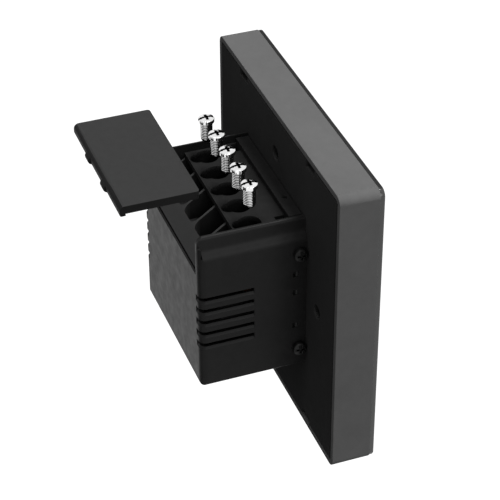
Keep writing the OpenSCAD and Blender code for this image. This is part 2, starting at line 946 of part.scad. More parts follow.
// Insulating terminal block with five bays, webs between them and a ramp for the wires
module terminal_block() {
    slot_half = tail_w / 2 + tail_slot_play;
    color(black_plastic)
        difference() {
            union() {
                along_x(-block_half, 2 * block_half)
                    block_outline();
                front_ledge();
                both_sides()
                    block_between(
                        [block_half - block_skin, lug_h + 2 * fit_gap, block_base_z],
                        [block_half, bay_front_y, deck_under_z]);
            }
            both_sides()
                block_between(
                    [block_half - pocket_w, ledge_end_y, deck_under_z - skim],
                    [block_half - ledge_gap, pocket_end_y, deck_z + skim]);
            for (i = [1 : pole_count]) {
                wire_bay(i);
                screw_well(i);
                block_between(
                    [pole_x(i) - slot_half, bay_front_y - bay_wall - skim, tail_z - tail_slot_play],
                    [pole_x(i) + slot_half, bay_front_y + skim, tail_z + tail_t + tail_slot_play]);
            }
        }
}

// Steel clamp: an open cage with a tapped top and a tail into the power board
module terminal_clamp(i) {
    color(dark_steel)
        translate([pole_x(i), 0, 0])
            difference() {
                union() {
                    block_between(
                        [-clamp_half, clamp_front_y, clamp_base_z],
                        [clamp_half, clamp_front_y + clamp_depth, clamp_base_z + clamp_h]);
                    block_between(
                        [-tail_w / 2, tail_end_y, tail_z],
                        [tail_w / 2, clamp_front_y + clamp_wall, tail_z + tail_t]);
                }
                block_between(
                    [-clamp_half + clamp_wall, clamp_front_y + clamp_wall, clamp_base_z + clamp_wall],
                    [clamp_half - clamp_wall, clamp_front_y + clamp_depth + skim, clamp_base_z + clamp_h - clamp_wall]);
                translate([0, screw_y, clamp_base_z + clamp_h / 2])
                    cylinder(h = clamp_h, d = clamp_hole_d);
            }
}

// Outline of a terminal screw turned about its axis, the head's top on z = 0
module screw_outline() {
    translate([0, -head_h])
        square([head_d / 2, head_rim_h]);
    intersection() {
        translate([0, -dome_r])
            circle(dome_r);
        translate([0, -head_h + head_rim_h])
            square([head_d / 2, head_h]);
    }
    translate([0, -screw_len + tip_len])
        square([shank_d / 2, screw_len - tip_len - head_h + head_rim_h / 2]);
    polygon([
        [0, -screw_len],
        [shank_d / 2 - tip_len / 2, -screw_len],
        [shank_d / 2, -screw_len + tip_len],
        [0, -screw_len + tip_len]
    ]);
}

// Terminal screw with a cross recess and a slot across its head, lifted out
module terminal_screw(i) {
    color(chrome)
        translate([pole_x(i), screw_y, screw_lifted_z])
            difference() {
                rotate_extrude()
                    screw_outline();
                cube([recess_w, slot_len, 2 * recess_depth], center = true);
                cube([recess_len, recess_w, 2 * recess_depth], center = true);
            }
}

// Outline of the cover seen from above, with small corners
module cover_plan(inset) {
    translate([0, cover_front_y + cover_depth / 2])
        rounded_rect(2 * (cover_half - inset), cover_depth - 2 * inset, cover_corner_r);
}

// Lip along the rear edge, rounder and deeper than the skirt
module cover_lip() {
    intersection() {
        along_x(-cover_half, 2 * cover_half)
            rounded_end(cover_front_y, cover_lifted_z - lip_h, cover_depth, lip_h, cover_foot_r, cover_edge_r);
        block_between(
            [-cover_half, cover_lifted_y - lip_t, cover_lifted_z - lip_h],
            [cover_half, cover_lifted_y, cover_lifted_z]);
    }
}

// Finger nub under the rear edge: a short round bar with round ends
module finger_nub(x) {
    half = nub_w / 2 - nub_r;
    translate([x, cover_lifted_y + nub_out - nub_r, cover_lifted_z - lip_h - nub_drop + nub_r]) {
        rod_x(0, 0, -half, 2 * half, 2 * nub_r);
        for (s = [-1, 1])
            translate([s * half, 0, 0])
                sphere(nub_r);
    }
}

// Terminal cover: a shallow tray with a round lip and two finger nubs, lifted off to the rear
module terminal_cover() {
    color(black_plastic)
        union() {
            difference() {
                intersection() {
                    along_z_prism(cover_lifted_z - cover_h, cover_h)
                        cover_plan(0);
                    along_x(-cover_half, 2 * cover_half)
                        rounded_end(cover_front_y, cover_lifted_z - lip_h,
                            cover_depth, lip_h, cover_foot_r, cover_edge_r);
                }
                along_z_prism(cover_lifted_z - cover_h - skim, cover_h + skim - cover_wall)
                    cover_plan(cover_wall);
            }
            cover_lip();
            for (s = [-1, 1])
                finger_nub(s * nub_x);
        }
}

// Power board and what stands on it

// Power board, which stands upright behind the mounting plate
module power_board() {
    color(board_green)
        difference() {
            along_y(power_board_y, power_board_t)
                translate([-power_half, power_low_z])
                    square([2 * power_half, power_top_z - power_low_z]);
            both_sides()
                for (z = post_z)
                    rod_y(post_x, z, power_board_y - skim, power_board_t + 2 * skim, post_pilot_d + screw_play);
            for (i = [1 : pole_count])
                block_between(
                    [pole_x(i) - tail_w / 2 - tail_play, power_board_y - skim, tail_z - tail_play],
                    [pole_x(i) + tail_w / 2 + tail_play, power_rear_y + skim, tail_z + tail_t + tail_play]);
        }
}

// Screws that hold the power board to the plate's posts
module power_board_screws() {
    color(tin)
        both_sides()
            for (z = post_z) {
                translate([post_x, power_rear_y, z])
                    rotate([-90, 0, 0])
                        pan_head(post_head_d, small_head_h);
                rod_y(post_x, z, post_screw_y, power_rear_y - post_screw_y, post_pilot_d - thread_play);
            }
}

// Socket of the board link, through the window of the mounting plate
module link_socket() {
    color(black_plastic)
        difference() {
            along_y(socket_front_y, power_board_y - socket_front_y)
                translate([0, link_z])
                    square([link_body_w, link_body_h], center = true);
            at_link_pins()
                block_between(
                    [-link_bore_half, socket_front_y - skim, -link_bore_half],
                    [link_bore_half, power_board_y - link_floor_t, link_bore_half]);
        }
}

relay_bevel = 0.7;

// Relay in its moulded case, with a bevelled top
module relay(i) {
    middle = 2;
    bevel_side = relay_bevel * sqrt(2);
    x = (middle - i) * (relay_w + relay_gap);
    color([0.12, 0.2, 0.42])
        translate([x, 0, relay_mid_z])
            difference() {
                along_y(power_rear_y, relay_h)
                    rounded_rect(relay_w, relay_len, relay_r);
                translate([0, power_rear_y + relay_h, 0])
                    for (s = [-1, 1])
                        translate([s * relay_w / 2, 0, 0])
                            rotate([0, 0, 45])
                                cube([bevel_side, bevel_side, relay_len + skim], center = true);
            }
}

part_gap = 0.8;
transformer_w = 11;
transformer_x = 3;
transformer_side = transformer_x + transformer_w / 2;
film_w = 4.4;
upper_row_mid_z = upper_row_z + upper_row_h / 2;

// Transformer: a wound bobbin between the two halves of its core
module transformer() {
    core_t = 2.6;
    height = 11;
    foot_t = 1;
    coil_d = upper_row_h * 0.95;
    coil_w = transformer_w - 2 * core_t;
    translate([transformer_x, 0, upper_row_mid_z]) {
        color([0.22, 0.22, 0.24])
            both_sides()
                along_y(power_rear_y + foot_t, height - foot_t)
                    translate([(transformer_w - core_t) / 2, 0])
                        square([core_t, upper_row_h], center = true);
        color([0.85, 0.75, 0.35])
            rod_x(power_rear_y + foot_t + height / 2, 0, -coil_w / 2, coil_w, coil_d);
        color(black_plastic)
            along_y(power_rear_y, foot_t)
                square([transformer_w, upper_row_h], center = true);
    }
}

// Storage capacitor, an aluminium can with a rolled edge
module storage_capacitor() {
    height = 13;
    gap = 1;
    groove_z = 1;
    groove_r = 0.35;
    dish_depth = 0.3;
    dish_d = capacitor_d - 1.4;
    color([0.15, 0.17, 0.3])
        translate([transformer_x - transformer_w / 2 - gap - capacitor_d / 2, power_rear_y, upper_row_mid_z])
            rotate([-90, 0, 0])
                difference() {
                    cylinder(h = height, d = capacitor_d);
                    translate([0, 0, groove_z])
                        rotate_extrude()
                            translate([capacitor_d / 2, 0])
                                circle(groove_r, $fn = 16);
                    translate([0, 0, height - dish_depth])
                        cylinder(h = skim, d = dish_d);
                }
}

// Film capacitor in its box
module film_capacitor() {
    height = 9;
    corner_r = 0.5;
    color([0.75, 0.6, 0.2])
        translate([transformer_side + part_gap + film_w / 2, 0, upper_row_mid_z])
            along_y(power_rear_y, height)
                rounded_rect(film_w, upper_row_h, corner_r);
}

drum_z = upper_row_z + 2.1;

// Fuse: a small upright drum
module fuse() {
    fuse_x = -15.2;
    fuse_d = 3.4;
    fuse_h = 8;
    color([0.35, 0.2, 0.12])
        rod_y(fuse_x, drum_z, power_rear_y, fuse_h, fuse_d);
}

// Choke: a wound drum core between two flanges
module choke() {
    flange_d = 2.8;
    flange_t = 0.8;
    winding_d = 2.2;
    winding_h = 5;
    choke_x = transformer_side + part_gap + film_w + part_gap + flange_d / 2;
    color([0.4, 0.25, 0.12]) {
        rod_y(choke_x, drum_z, power_rear_y, flange_t, flange_d);
        rod_y(choke_x, drum_z, power_rear_y + flange_t, winding_h, winding_d);
        rod_y(choke_x, drum_z, power_rear_y + flange_t + winding_h, flange_t, flange_d);
    }
}

chip_t = 1.5;
chip_w = 10;
chip_h = 4;
chip_z = 4;

// Driver chip on the plate side of the power board
module driver_chip() {
    color([0.06, 0.06, 0.06])
        along_y(power_board_y - chip_t, chip_t)
            translate([0, chip_z])
                square([chip_w, chip_h], center = true);
}

front_bezel();
front_glass();
display_cell();
backlight_tray();
inner_chassis();
main_board();
shield_can();
radio_module();
display_ribbon();
link_plug();
main_board_screws();
mounting_plate();
box_housing();
box_screws();
terminal_block();
terminal_clamp(1);  // terminal_clamp_1
terminal_clamp(2);  // terminal_clamp_2
terminal_clamp(3);  // terminal_clamp_3
terminal_clamp(4);  // terminal_clamp_4
terminal_clamp(5);  // terminal_clamp_5
terminal_screw(1);  // terminal_screw_1
terminal_screw(2);  // terminal_screw_2
terminal_screw(3);  // terminal_screw_3
terminal_screw(4);  // terminal_screw_4
terminal_screw(5);  // terminal_screw_5
terminal_cover();
power_board();
power_board_screws();
link_socket();
relay(1);  // relay_1
relay(2);  // relay_2
relay(3);  // relay_3
transformer();
storage_capacitor();
film_capacitor();
fuse();
choke();
driver_chip();
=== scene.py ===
"""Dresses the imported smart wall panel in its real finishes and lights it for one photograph."""

import logging
import math
from dataclasses import dataclass
from dataclasses import field
from enum import Enum

import bmesh
import bpy
from mathutils import Matrix
from mathutils import Vector

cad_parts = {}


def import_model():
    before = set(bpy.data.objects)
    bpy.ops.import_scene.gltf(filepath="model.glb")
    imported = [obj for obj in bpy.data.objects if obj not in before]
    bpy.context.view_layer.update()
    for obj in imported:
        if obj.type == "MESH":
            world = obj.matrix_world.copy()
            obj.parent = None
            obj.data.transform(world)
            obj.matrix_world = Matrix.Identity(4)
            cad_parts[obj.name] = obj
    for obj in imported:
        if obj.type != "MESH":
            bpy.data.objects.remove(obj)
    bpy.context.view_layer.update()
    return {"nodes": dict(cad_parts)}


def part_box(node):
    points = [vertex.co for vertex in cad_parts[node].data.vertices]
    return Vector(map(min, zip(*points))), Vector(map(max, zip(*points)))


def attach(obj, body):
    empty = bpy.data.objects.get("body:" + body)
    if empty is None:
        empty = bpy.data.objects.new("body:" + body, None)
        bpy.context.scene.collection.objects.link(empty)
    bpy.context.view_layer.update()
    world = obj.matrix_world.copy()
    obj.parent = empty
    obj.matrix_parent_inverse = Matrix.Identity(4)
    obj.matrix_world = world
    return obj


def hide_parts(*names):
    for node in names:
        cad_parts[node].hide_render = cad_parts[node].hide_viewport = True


LOG = logging.getLogger("smart_wall_panel")

MM = 0.001
PHOTO_WIDTH_PX = 500
POLES = 5
QUARTER_TURN = math.pi / 2
FULL_TURN = 2 * math.pi
# Smooth shading stops where two faces meet at a wider angle than this
CRISP_ANGLE = math.radians(35)
# Noise bunches round the middle of its range, so patterns are spread from this part of it
NOISE_RANGE = {"From Min": 0.3, "From Max": 0.7}
# A Wave texture's bands turn through this many radians in each unit of scaled length
WAVE_RADIANS = 20.0
# A Mix node has several sockets of one name, so they go by their numbers
MIX_SHARE = 0
COLOUR_A = 6
COLOUR_B = 7
COLOUR_OUT = 2
NUMBER_A = 2
NUMBER_B = 3
NUMBER_OUT = 0

Colour = tuple[float, float, float, float]
Ring = list[bmesh.types.BMVert]


class Finish(Enum):
    """The finishes of the panel, named for what the real surface is and how it was made; one of them is
    painted shade.
    """

    # An even mid grey with no clear highlight
    RIM = "satin_grey_abs_rim"
    # Dry and dark, with no highlight at all
    PLATE = "deep_black_abs_plate"
    # Black with a faint broad sheen
    BOX = "black_pc_abs_box"
    # Dark on the deck, with painted light making the ramp paler, and no clear highlight
    TERMINALS = "black_nylon_terminal_block"
    # Black; the soft dark grey on its top is painted light
    COVER = "satin_black_abs_cover"
    # Deep black with a clear highlight
    CONNECTOR = "black_nylon_connector"
    # Deep black, a little softer in its shine
    RELAY = "black_pbt_relay_case"
    # A warm opaque yellow
    FILM_BOX = "yellow_pbt_film_box"
    # A dull red brown
    FUSE = "brown_pbt_fuse_body"
    # Nearly black and matt
    CHIP = "epoxy_chip_package"
    # Stone grey and dry
    FERRITE = "sintered_ferrite"
    # Blue-black film with a soft gloss
    SLEEVE = "pvc_sleeve_on_can"
    # Amber film over copper
    RIBBON = "polyimide_ribbon"
    # A bright mirror that breaks the surround into white and black
    NICKEL = "bright_nickel_screw"
    # Brown-black metal that hardly shines
    CLAMP = "black_passivated_steel_clamp"
    # Bright, a little greyer than the head
    THREAD = "rolled_nickel_thread"
    # Painted shade: black, standing for the shade in the cross recess and the thread roots
    PAINTED_SHADE = "painted_shade_in_recess"
    # Pale grey with a blurred shine
    ZINC = "zinc_plated_screw"
    # Dark grey with a dull shine
    BLACK_STEEL = "blackened_steel_screw"
    # Light grey sheet with a blurred shine
    TIN = "tinned_pressed_sheet"
    # Red-brown wire under clear enamel
    COPPER = "enamelled_copper_winding"
    # A deep black mirror
    GLASS = "black_printed_glass"
    # The same mirror over a slightly greyer window
    DISPLAY = "display_cell_glass"
    # A glossy green with paler tracks
    BOARD = "green_resist_board"


def linear(hex_code: str) -> Colour:
    """Turns an sRGB colour into the linear one that a shader takes, by the sRGB standard's curve.

    Args:
        hex_code: six hexadecimal digits, such as "3A3B3D".

    Returns:
        Red, green, blue and an alpha of 1, linear.
    """
    channels = [int(hex_code[i : i + 2], 16) / 255 for i in (0, 2, 4)]
    curved = [c / 12.92 if c <= 0.04045 else ((c + 0.055) / 1.055) ** 2.4 for c in channels]
    return (curved[0], curved[1], curved[2], 1.0)


def add_node(
    tree: bpy.types.NodeTree,
    kind: str,
    settings: dict | None = None,
    links: dict | None = None,
) -> bpy.types.Node:
    """Adds one node to a tree.

    Args:
        tree: the node tree that takes it.
        kind: Blender's name for the node.
        settings: socket names, socket numbers or property names, and their values.
        links: socket names or numbers, and the outputs that feed them.

    Returns:
        The new node.
    """
    node = tree.nodes.new(kind)
    for key, value in (settings or {}).items():
        if isinstance(key, int) or key in node.inputs:
            node.inputs[key].default_value = value
        else:
            setattr(node, key, value)
    for key, source in (links or {}).items():
        tree.links.new(source, node.inputs[key])
    return node


def new_material(name: str) -> tuple[bpy.types.Material, bpy.types.NodeTree]:
    """Makes an empty node material.

    Args:
        name: the material's name.

    Returns:
        The material and its cleared node tree.
    """
    material = bpy.data.materials.new(name)
    material.use_nodes = True
    material.node_tree.nodes.clear()
    return material, material.node_tree


def mottled(
    tree: bpy.types.NodeTree,
    place: bpy.types.NodeSocket,
    low: str,
    high: str,
    patch_mm: float,
) -> bpy.types.NodeSocket:
    """Drifts a colour softly between two hex values.

    Args:
        tree: the node tree that takes the pattern.
        place: the coordinates that carry it.
        low: the darker sRGB colour.
        high: the lighter sRGB colour.
        patch_mm: the usual size of one patch.

    Returns:
        The colour output.
    """
    cloud = add_node(
        tree,
        "ShaderNodeTexNoise",
        {"Scale": 1 / (patch_mm * MM), "Detail": 3.0, "Roughness": 0.55},
        {"Vector": place},
    )
    ramp = add_node(tree, "ShaderNodeValToRGB", links={"Fac": cloud.outputs["Fac"]})
    stops = ((0.35, low), (0.65, high))
    for element, (position, hex_code) in zip(ramp.color_ramp.elements, stops):
        element.position = position
        element.color = linear(hex_code)
    return ramp.outputs["Color"]


def add_object(name: str, data: bpy.types.ID) -> bpy.types.Object:
    """Puts a mesh, lamp or camera into the scene.

    Args:
        name: the object's name.
        data: the mesh, lamp or camera data.

    Returns:
        The new object.
    """
    made = bpy.data.objects.new(name, data)
    bpy.context.scene.collection.objects.link(made)
    return made


def join_rings(mesh: bmesh.types.BMesh, rings: list[Ring]) -> None:
    """Joins each ring of points to the next with faces; a ring of one point gives triangles.

    Args:
        mesh: the mesh that takes the faces.
        rings: the rings in order.
    """
    for lower, upper in zip(rings, rings[1:]):
        steps = max(len(lower), len(upper))
        for here in range(steps):
            after = (here + 1) % steps
            corners = [lower[here % len(lower)], lower[after % len(lower)]]
            corners += [upper[after % len(upper)], upper[here % len(upper)]]
            mesh.faces.new(list(dict.fromkeys(corners)))


def finished_mesh(mesh: bmesh.types.BMesh, name: str, smooth: bool) -> bpy.types.Mesh:
    """Turns a mesh under construction into a finished one.

    Args:
        mesh: the points and faces, which are freed.
        name: the finished mesh's name.
        smooth: whether it is shaded smoothly between its crisp edges.

    Returns:
        The finished mesh.
    """
    data = bpy.data.meshes.new(name)
    mesh.to_mesh(data)
    mesh.free()
    if smooth:
        for face in data.polygons:
            face.use_smooth = True
        data.set_sharp_from_angle(angle=CRISP_ANGLE)
    return data


@dataclass(frozen=True)
class MouldedPlastic:
    """ABS or a like plastic from a spark-eroded mould, or an equally dry sintered surface.

    The eye gets a deep even colour, a fine dry grain that breaks up the sheen, slight drifts of
    gloss where hands touch it, and a little paler edge where the texture has rubbed off.
    """

    finish: Finish
    dark: str
    light: str
    worn: str
    roughness: float
    specular: float
    # Spark erosion leaves pits of 0.1 to 0.3 mm; drawn at 0.3 so that they show
    grain_mm: float = 0.3
    grain_depth_mm: float = 0.006
    patch_mm: float = 14.0
    scuff_mm: float = 2.2
    gloss_drift: float = 0.05
    wear_share: float = 0.35
    least_wear: float = 0.2
    # Pointiness is 0.5 on a flat and rises towards an edge that stands out
    wear_from: float = 0.51
    wear_full: float = 0.58

    def base_colour(self, tree: bpy.types.NodeTree, place: bpy.types.NodeSocket) -> bpy.types.NodeSocket:
        """Gives the colour before wear, on the object's own coordinates."""
        return mottled(tree, place, self.dark, self.light, self.patch_mm)

    def build(self) -> bpy.types.Material:
        """Builds the material.

        Returns:
            The material.
        """
        material, tree = new_material(self.finish.value)
        place = add_node(tree, "ShaderNodeTexCoord").outputs["Object"]
        base = self.base_colour(tree, place)
        edge = add_node(
            tree,
            "ShaderNodeMapRange",
            {
                "From Min": self.wear_from,
                "From Max": self.wear_full,
                "To Min": 0.0,
                "To Max": self.wear_share,
            },
            {"Value": add_node(tree, "ShaderNodeNewGeometry").outputs["Pointiness"]},
        )
        scuffs = add_node(
            tree,
            "ShaderNodeTexNoise",
            {"Scale": 1 / (self.scuff_mm * MM), "Detail": 6.0},
            {"Vector": place},
        )
        patchy = add_node(
            tree,
            "ShaderNodeMapRange",
            {**NOISE_RANGE, "To Min": self.least_wear, "To Max": 1.0},
            {"Value": scuffs.outputs["Fac"]},
        )
        worn_where = add_node(
            tree,
            "ShaderNodeMath",
            {"operation": "MULTIPLY"},
            {0: edge.outputs["Result"], 1: patchy.outputs["Result"]},
        )
        colour = add_node(
            tree,
            "ShaderNodeMix",
            {"data_type": "RGBA", COLOUR_B: linear(self.worn)},
            {MIX_SHARE: worn_where.outputs["Value"], COLOUR_A: base},
        )
        grain = add_node(
            tree,
            "ShaderNodeTexNoise",
            {"Scale": 1 / (self.grain_mm * MM), "Detail": 2.0, "Roughness": 0.6},
            {"Vector": place},
        )
        bump = add_node(
            tree,
            "ShaderNodeBump",
            {"Strength": 1.0, "Distance": self.grain_depth_mm * MM},
            {"Height": grain.outputs["Fac"]},
        )
        glossiest = self.roughness - self.gloss_drift
        driest = self.roughness + self.gloss_drift
        gloss = add_node(
            tree,
            "ShaderNodeMapRange",
            {**NOISE_RANGE, "To Min": glossiest, "To Max": driest},
            {"Value": scuffs.outputs["Fac"]},
        )
        shader = add_node(
            tree,
            "ShaderNodeBsdfPrincipled",
            {"IOR": 1.5, "Specular IOR Level": self.specular},
            {
                "Base Color": colour.outputs[COLOUR_OUT],
                "Roughness": gloss.outputs["Result"],
                "Normal": bump.outputs["Normal"],
            },
        )
        add_node(tree, "ShaderNodeOutputMaterial", links={"Surface": shader.outputs["BSDF"]})
        return material


@dataclass(frozen=True)
class PaintedLightPlastic(MouldedPlastic):
    """Moulded plastic with painted light on the faces turned to one side.

    The eye gets dark faces, and on the faces turned to that side a paler tone that is painted light.
    """

    # Painted light: the paler colour on the faces turned to that side
    painted_light: str = "404040"
    towards: tuple[float, float, float] = (0.0, 0.0, 1.0)
    # Cosine of the widest angle between a face's direction and that side, for the face to get painted
    # light
    least_share: float = 0.85

    def base_colour(self, tree: bpy.types.NodeTree, place: bpy.types.NodeSocket) -> bpy.types.NodeSocket:
        """Gives the own colour, and a paler painted light on the faces turned to that side.

        Args:
            tree: the node tree that takes the nodes.
            place: the object's own coordinates.

        Returns:
            The colour output.
        """
        share = add_node(
            tree,
            "ShaderNodeVectorMath",
            {"operation": "DOT_PRODUCT", 1: self.towards},
            {0: add_node(tree, "ShaderNodeTexCoord").outputs["Normal"]},
        )
        # Painted light: 1 on the faces turned to that side
        lit_side = add_node(
            tree,
            "ShaderNodeMath",
            {"operation": "GREATER_THAN", 1: self.least_share},
            {0: share.outputs["Value"]},
        )
        smooth = mottled(tree, place, self.dark, self.light, self.patch_mm)
        colour = add_node(
            tree,
            "ShaderNodeMix",
            {"data_type": "RGBA", COLOUR_B: linear(self.painted_light)},
            {MIX_SHARE: lit_side.outputs["Value"], COLOUR_A: smooth},
        )
        return colour.outputs[COLOUR_OUT]


@dataclass(frozen=True)
class PlatedMetal:
    """Metal under its plating, passivation or enamel, with the fine rings that its making left.

    The eye gets reflections slightly drawn out round the axis, a few dull spots, and painted shade in its
    hollows.
    """

    finish: Finish
    dark: str
    light: str
    roughness: float
    patch_mm: float = 1.6
    # Turning feeds by 0.05 to 0.1 mm a turn; drawn at 0.94 so that the rings show
    ring_mm: float = 0.9425
    ring_depth_mm: float = 0.0008
    spot_mm: float = 0.7
    spot_dullness: float = 0.1
    # Painted shade in threads and recesses, where shade falls
    hollow_shade: str = "1A1A1A"
    hollow_shade_share: float = 0.9
    # Pointiness is 0.5 on a flat and falls in a hollow
    hollow_shade_full: float = 0.4
    hollow_shade_none: float = 0.49

    def build(self) -> bpy.types.Material:
        """Builds the material.

        Returns:
            The material.
        """
        material, tree = new_material(self.finish.value)
        place = add_node(tree, "ShaderNodeTexCoord").outputs["Object"]
        bright = mottled(tree, place, self.dark, self.light, self.patch_mm)
        # Painted shade: the colour turns dark where the surface falls into a hollow
        hollow = add_node(
            tree,
            "ShaderNodeMapRange",
            {
                "From Min": self.hollow_shade_full,
                "From Max": self.hollow_shade_none,
                "To Min": self.hollow_shade_share,
                "To Max": 0.0,
            },
            {"Value": add_node(tree, "ShaderNodeNewGeometry").outputs["Pointiness"]},
        )
        colour = add_node(
            tree,
            "ShaderNodeMix",
            {"data_type": "RGBA", COLOUR_B: linear(self.hollow_shade)},
            {MIX_SHARE: hollow.outputs["Result"], COLOUR_A: bright},
        )
        rings = add_node(
            tree,
            "ShaderNodeTexWave",
            {
                "wave_type": "BANDS",
                "bands_direction": "Z",
                "Scale": FULL_TURN / (WAVE_RADIANS * self.ring_mm * MM),
                "Distortion": 1.2,
                "Detail": 2.0,
            },
            {"Vector": place},
        )
        bump = add_node(
            tree,
            "ShaderNodeBump",
            {"Strength": 1.0, "Distance": self.ring_depth_mm * MM},
            {"Height": rings.outputs["Fac"]},
        )
        spots = add_node(
            tree,
            "ShaderNodeTexNoise",
            {"Scale": 1 / (self.spot_mm * MM), "Detail": 4.0},
            {"Vector": place},
        )
        gloss = add_node(
            tree,
            "ShaderNodeMapRange",
            {**NOISE_RANGE, "To Min": self.roughness, "To Max": self.roughness + self.spot_dullness},
            {"Value": spots.outputs["Fac"]},
        )
        shader = add_node(
            tree,
            "ShaderNodeBsdfPrincipled",
            {"Metallic": 1.0},
            {
                "Base Color": colour.outputs[COLOUR_OUT],
                "Roughness": gloss.outputs["Result"],
                "Normal": bump.outputs["Normal"],
            },
        )
        add_node(tree, "ShaderNodeOutputMaterial", links={"Surface": shader.outputs["BSDF"]})
        return material


@dataclass(frozen=True)
class PrintedGlass:
    """Toughened soda-lime glass, polished, with black ink on its back.

    The eye gets a deep black with a sharp reflection, faint smears where fingers touch, the
    display's slightly greyer window inside the ink's border, and the edge's satin black paint.
    """

    finish: Finish
    border: str
    window: str
    window_mm: float
    pane_mm: float
    border_blur_mm: float = 0.3
    edge: str = "343434"
    edge_mm: float = 0.7
    edge_roughness: float = 0.12
    roughness: float = 0.04
    smear_mm: float = 9.0
    smear_dullness: float = 0.12

    def from_middle(self, tree: bpy.types.NodeTree, place: bpy.types.NodeSocket) -> bpy.types.NodeSocket:
        """Gives how far a point lies from the pane's middle, across or up, whichever is more.

        Args:
            tree: the node tree that takes the nodes.
            place: the object's own coordinates.

        Returns:
            The value output, in metres.
        """
        parts = add_node(tree, "ShaderNodeSeparateXYZ", links={"Vector": place})
        reach = []
        for axis in ("X", "Z"):
            size = add_node(tree, "ShaderNodeMath", {"operation": "ABSOLUTE"}, {0: parts.outputs[axis]})
            reach.append(size.outputs["Value"])
        furthest = add_node(tree, "ShaderNodeMath", {"operation": "MAXIMUM"}, {0: reach[0], 1: reach[1]})
        return furthest.outputs["Value"]

    def build(self) -> bpy.types.Material:
        """Builds the material.

        Returns:
            The material.
        """
        material, tree = new_material(self.finish.value)
        place = add_node(tree, "ShaderNodeTexCoord").outputs["Object"]
        furthest = self.from_middle(tree, place)
        half = self.window_mm / 2 * MM
        inside = add_node(
            tree,
            "ShaderNodeMapRange",
            {
                "From Min": half,
                "From Max": half + self.border_blur_mm * MM,
                "To Min": 1.0,
                "To Max": 0.0,
            },
            {"Value": furthest},
        )
        polished = add_node(
            tree,
            "ShaderNodeMath",
            {"operation": "LESS_THAN", 1: (self.pane_mm / 2 - self.edge_mm) * MM},
            {0: furthest},
        ).outputs["Value"]
        ink = add_node(
            tree,
            "ShaderNodeMix",
            {"data_type": "RGBA", COLOUR_A: linear(self.border), COLOUR_B: linear(self.window)},
            {MIX_SHARE: inside.outputs["Result"]},
        )
        colour = add_node(
            tree,
            "ShaderNodeMix",
            {"data_type": "RGBA", COLOUR_A: linear(self.edge)},
            {MIX_SHARE: polished, COLOUR_B: ink.outputs[COLOUR_OUT]},
        )
        smears = add_node(
            tree,
            "ShaderNodeTexNoise",
            {"Scale": 1 / (self.smear_mm * MM), "Detail": 5.0, "Distortion": 1.5},
            {"Vector": place},
        )
        smeared = add_node(
            tree,
            "ShaderNodeMapRange",
            {**NOISE_RANGE, "To Min": self.roughness, "To Max": self.roughness + self.smear_dullness},
            {"Value": smears.outputs["Fac"]},
        )
        gloss = add_node(
            tree,
            "ShaderNodeMix",
            {"data_type": "FLOAT", NUMBER_A: self.edge_roughness},
            {MIX_SHARE: polished, NUMBER_B: smeared.outputs["Result"]},
        )
        shader = add_node(
            tree,
            "ShaderNodeBsdfPrincipled",
            {"IOR": 1.52, "Coat Roughness": 0.02},
            {
                "Base Color": colour.outputs[COLOUR_OUT],
                "Roughness": gloss.outputs[NUMBER_OUT],
                "Coat Weight": polished,
            },
        )
        add_node(tree, "ShaderNodeOutputMaterial", links={"Surface": shader.outputs["BSDF"]})
        return material


@dataclass(frozen=True)
class CircuitBoard:
    """Woven glass board under a green solder resist.

    The eye gets a glossy green with paler copper tracks below it and the weave's fine ripple.
    """

    finish: Finish
    resist: str
    track: str
    # Tracks on such boards are 0.3 to 1 mm wide; drawn in fields of 2.4 mm so that they show
    track_mm: float = 2.4
    # Distance from a field's middle at which the track begins, and at which it is full
    track_from: float = 0.42
    track_full: float = 0.46
    weave_mm: float = 0.6
    weave_depth_mm: float = 0.01

    def build(self) -> bpy.types.Material:
        """Builds the material.

        Returns:
            The material.
        """
        material, tree = new_material(self.finish.value)
        place = add_node(tree, "ShaderNodeTexCoord").outputs["Object"]
        cells = add_node(
            tree,
            "ShaderNodeTexVoronoi",
            {"Scale": 1 / (self.track_mm * MM), "feature": "F1", "distance": "CHEBYCHEV"},
            {"Vector": place},
        )
        copper = add_node(
            tree,
            "ShaderNodeMapRange",
            {"From Min": self.track_from, "From Max": self.track_full, "To Min": 0.0, "To Max": 1.0},
            {"Value": cells.outputs["Distance"]},
        )
        colour = add_node(
            tree,
            "ShaderNodeMix",
            {"data_type": "RGBA", COLOUR_A: linear(self.resist), COLOUR_B: linear(self.track)},
            {MIX_SHARE: copper.outputs["Result"]},
        )
        weave = add_node(
            tree,
            "ShaderNodeTexChecker",
            {"Scale": 1 / (self.weave_mm * MM)},
            {"Vector": place},
        )
        bump = add_node(
            tree,
            "ShaderNodeBump",
            {"Strength": 0.6, "Distance": self.weave_depth_mm * MM},
            {"Height": weave.outputs["Fac"]},
        )
        shader = add_node(
            tree,
            "ShaderNodeBsdfPrincipled",
            {"IOR": 1.5, "Roughness": 0.3},
            {"Base Color": colour.outputs[COLOUR_OUT], "Normal": bump.outputs["Normal"]},
        )
        add_node(tree, "ShaderNodeOutputMaterial", links={"Surface": shader.outputs["BSDF"]})
        return material


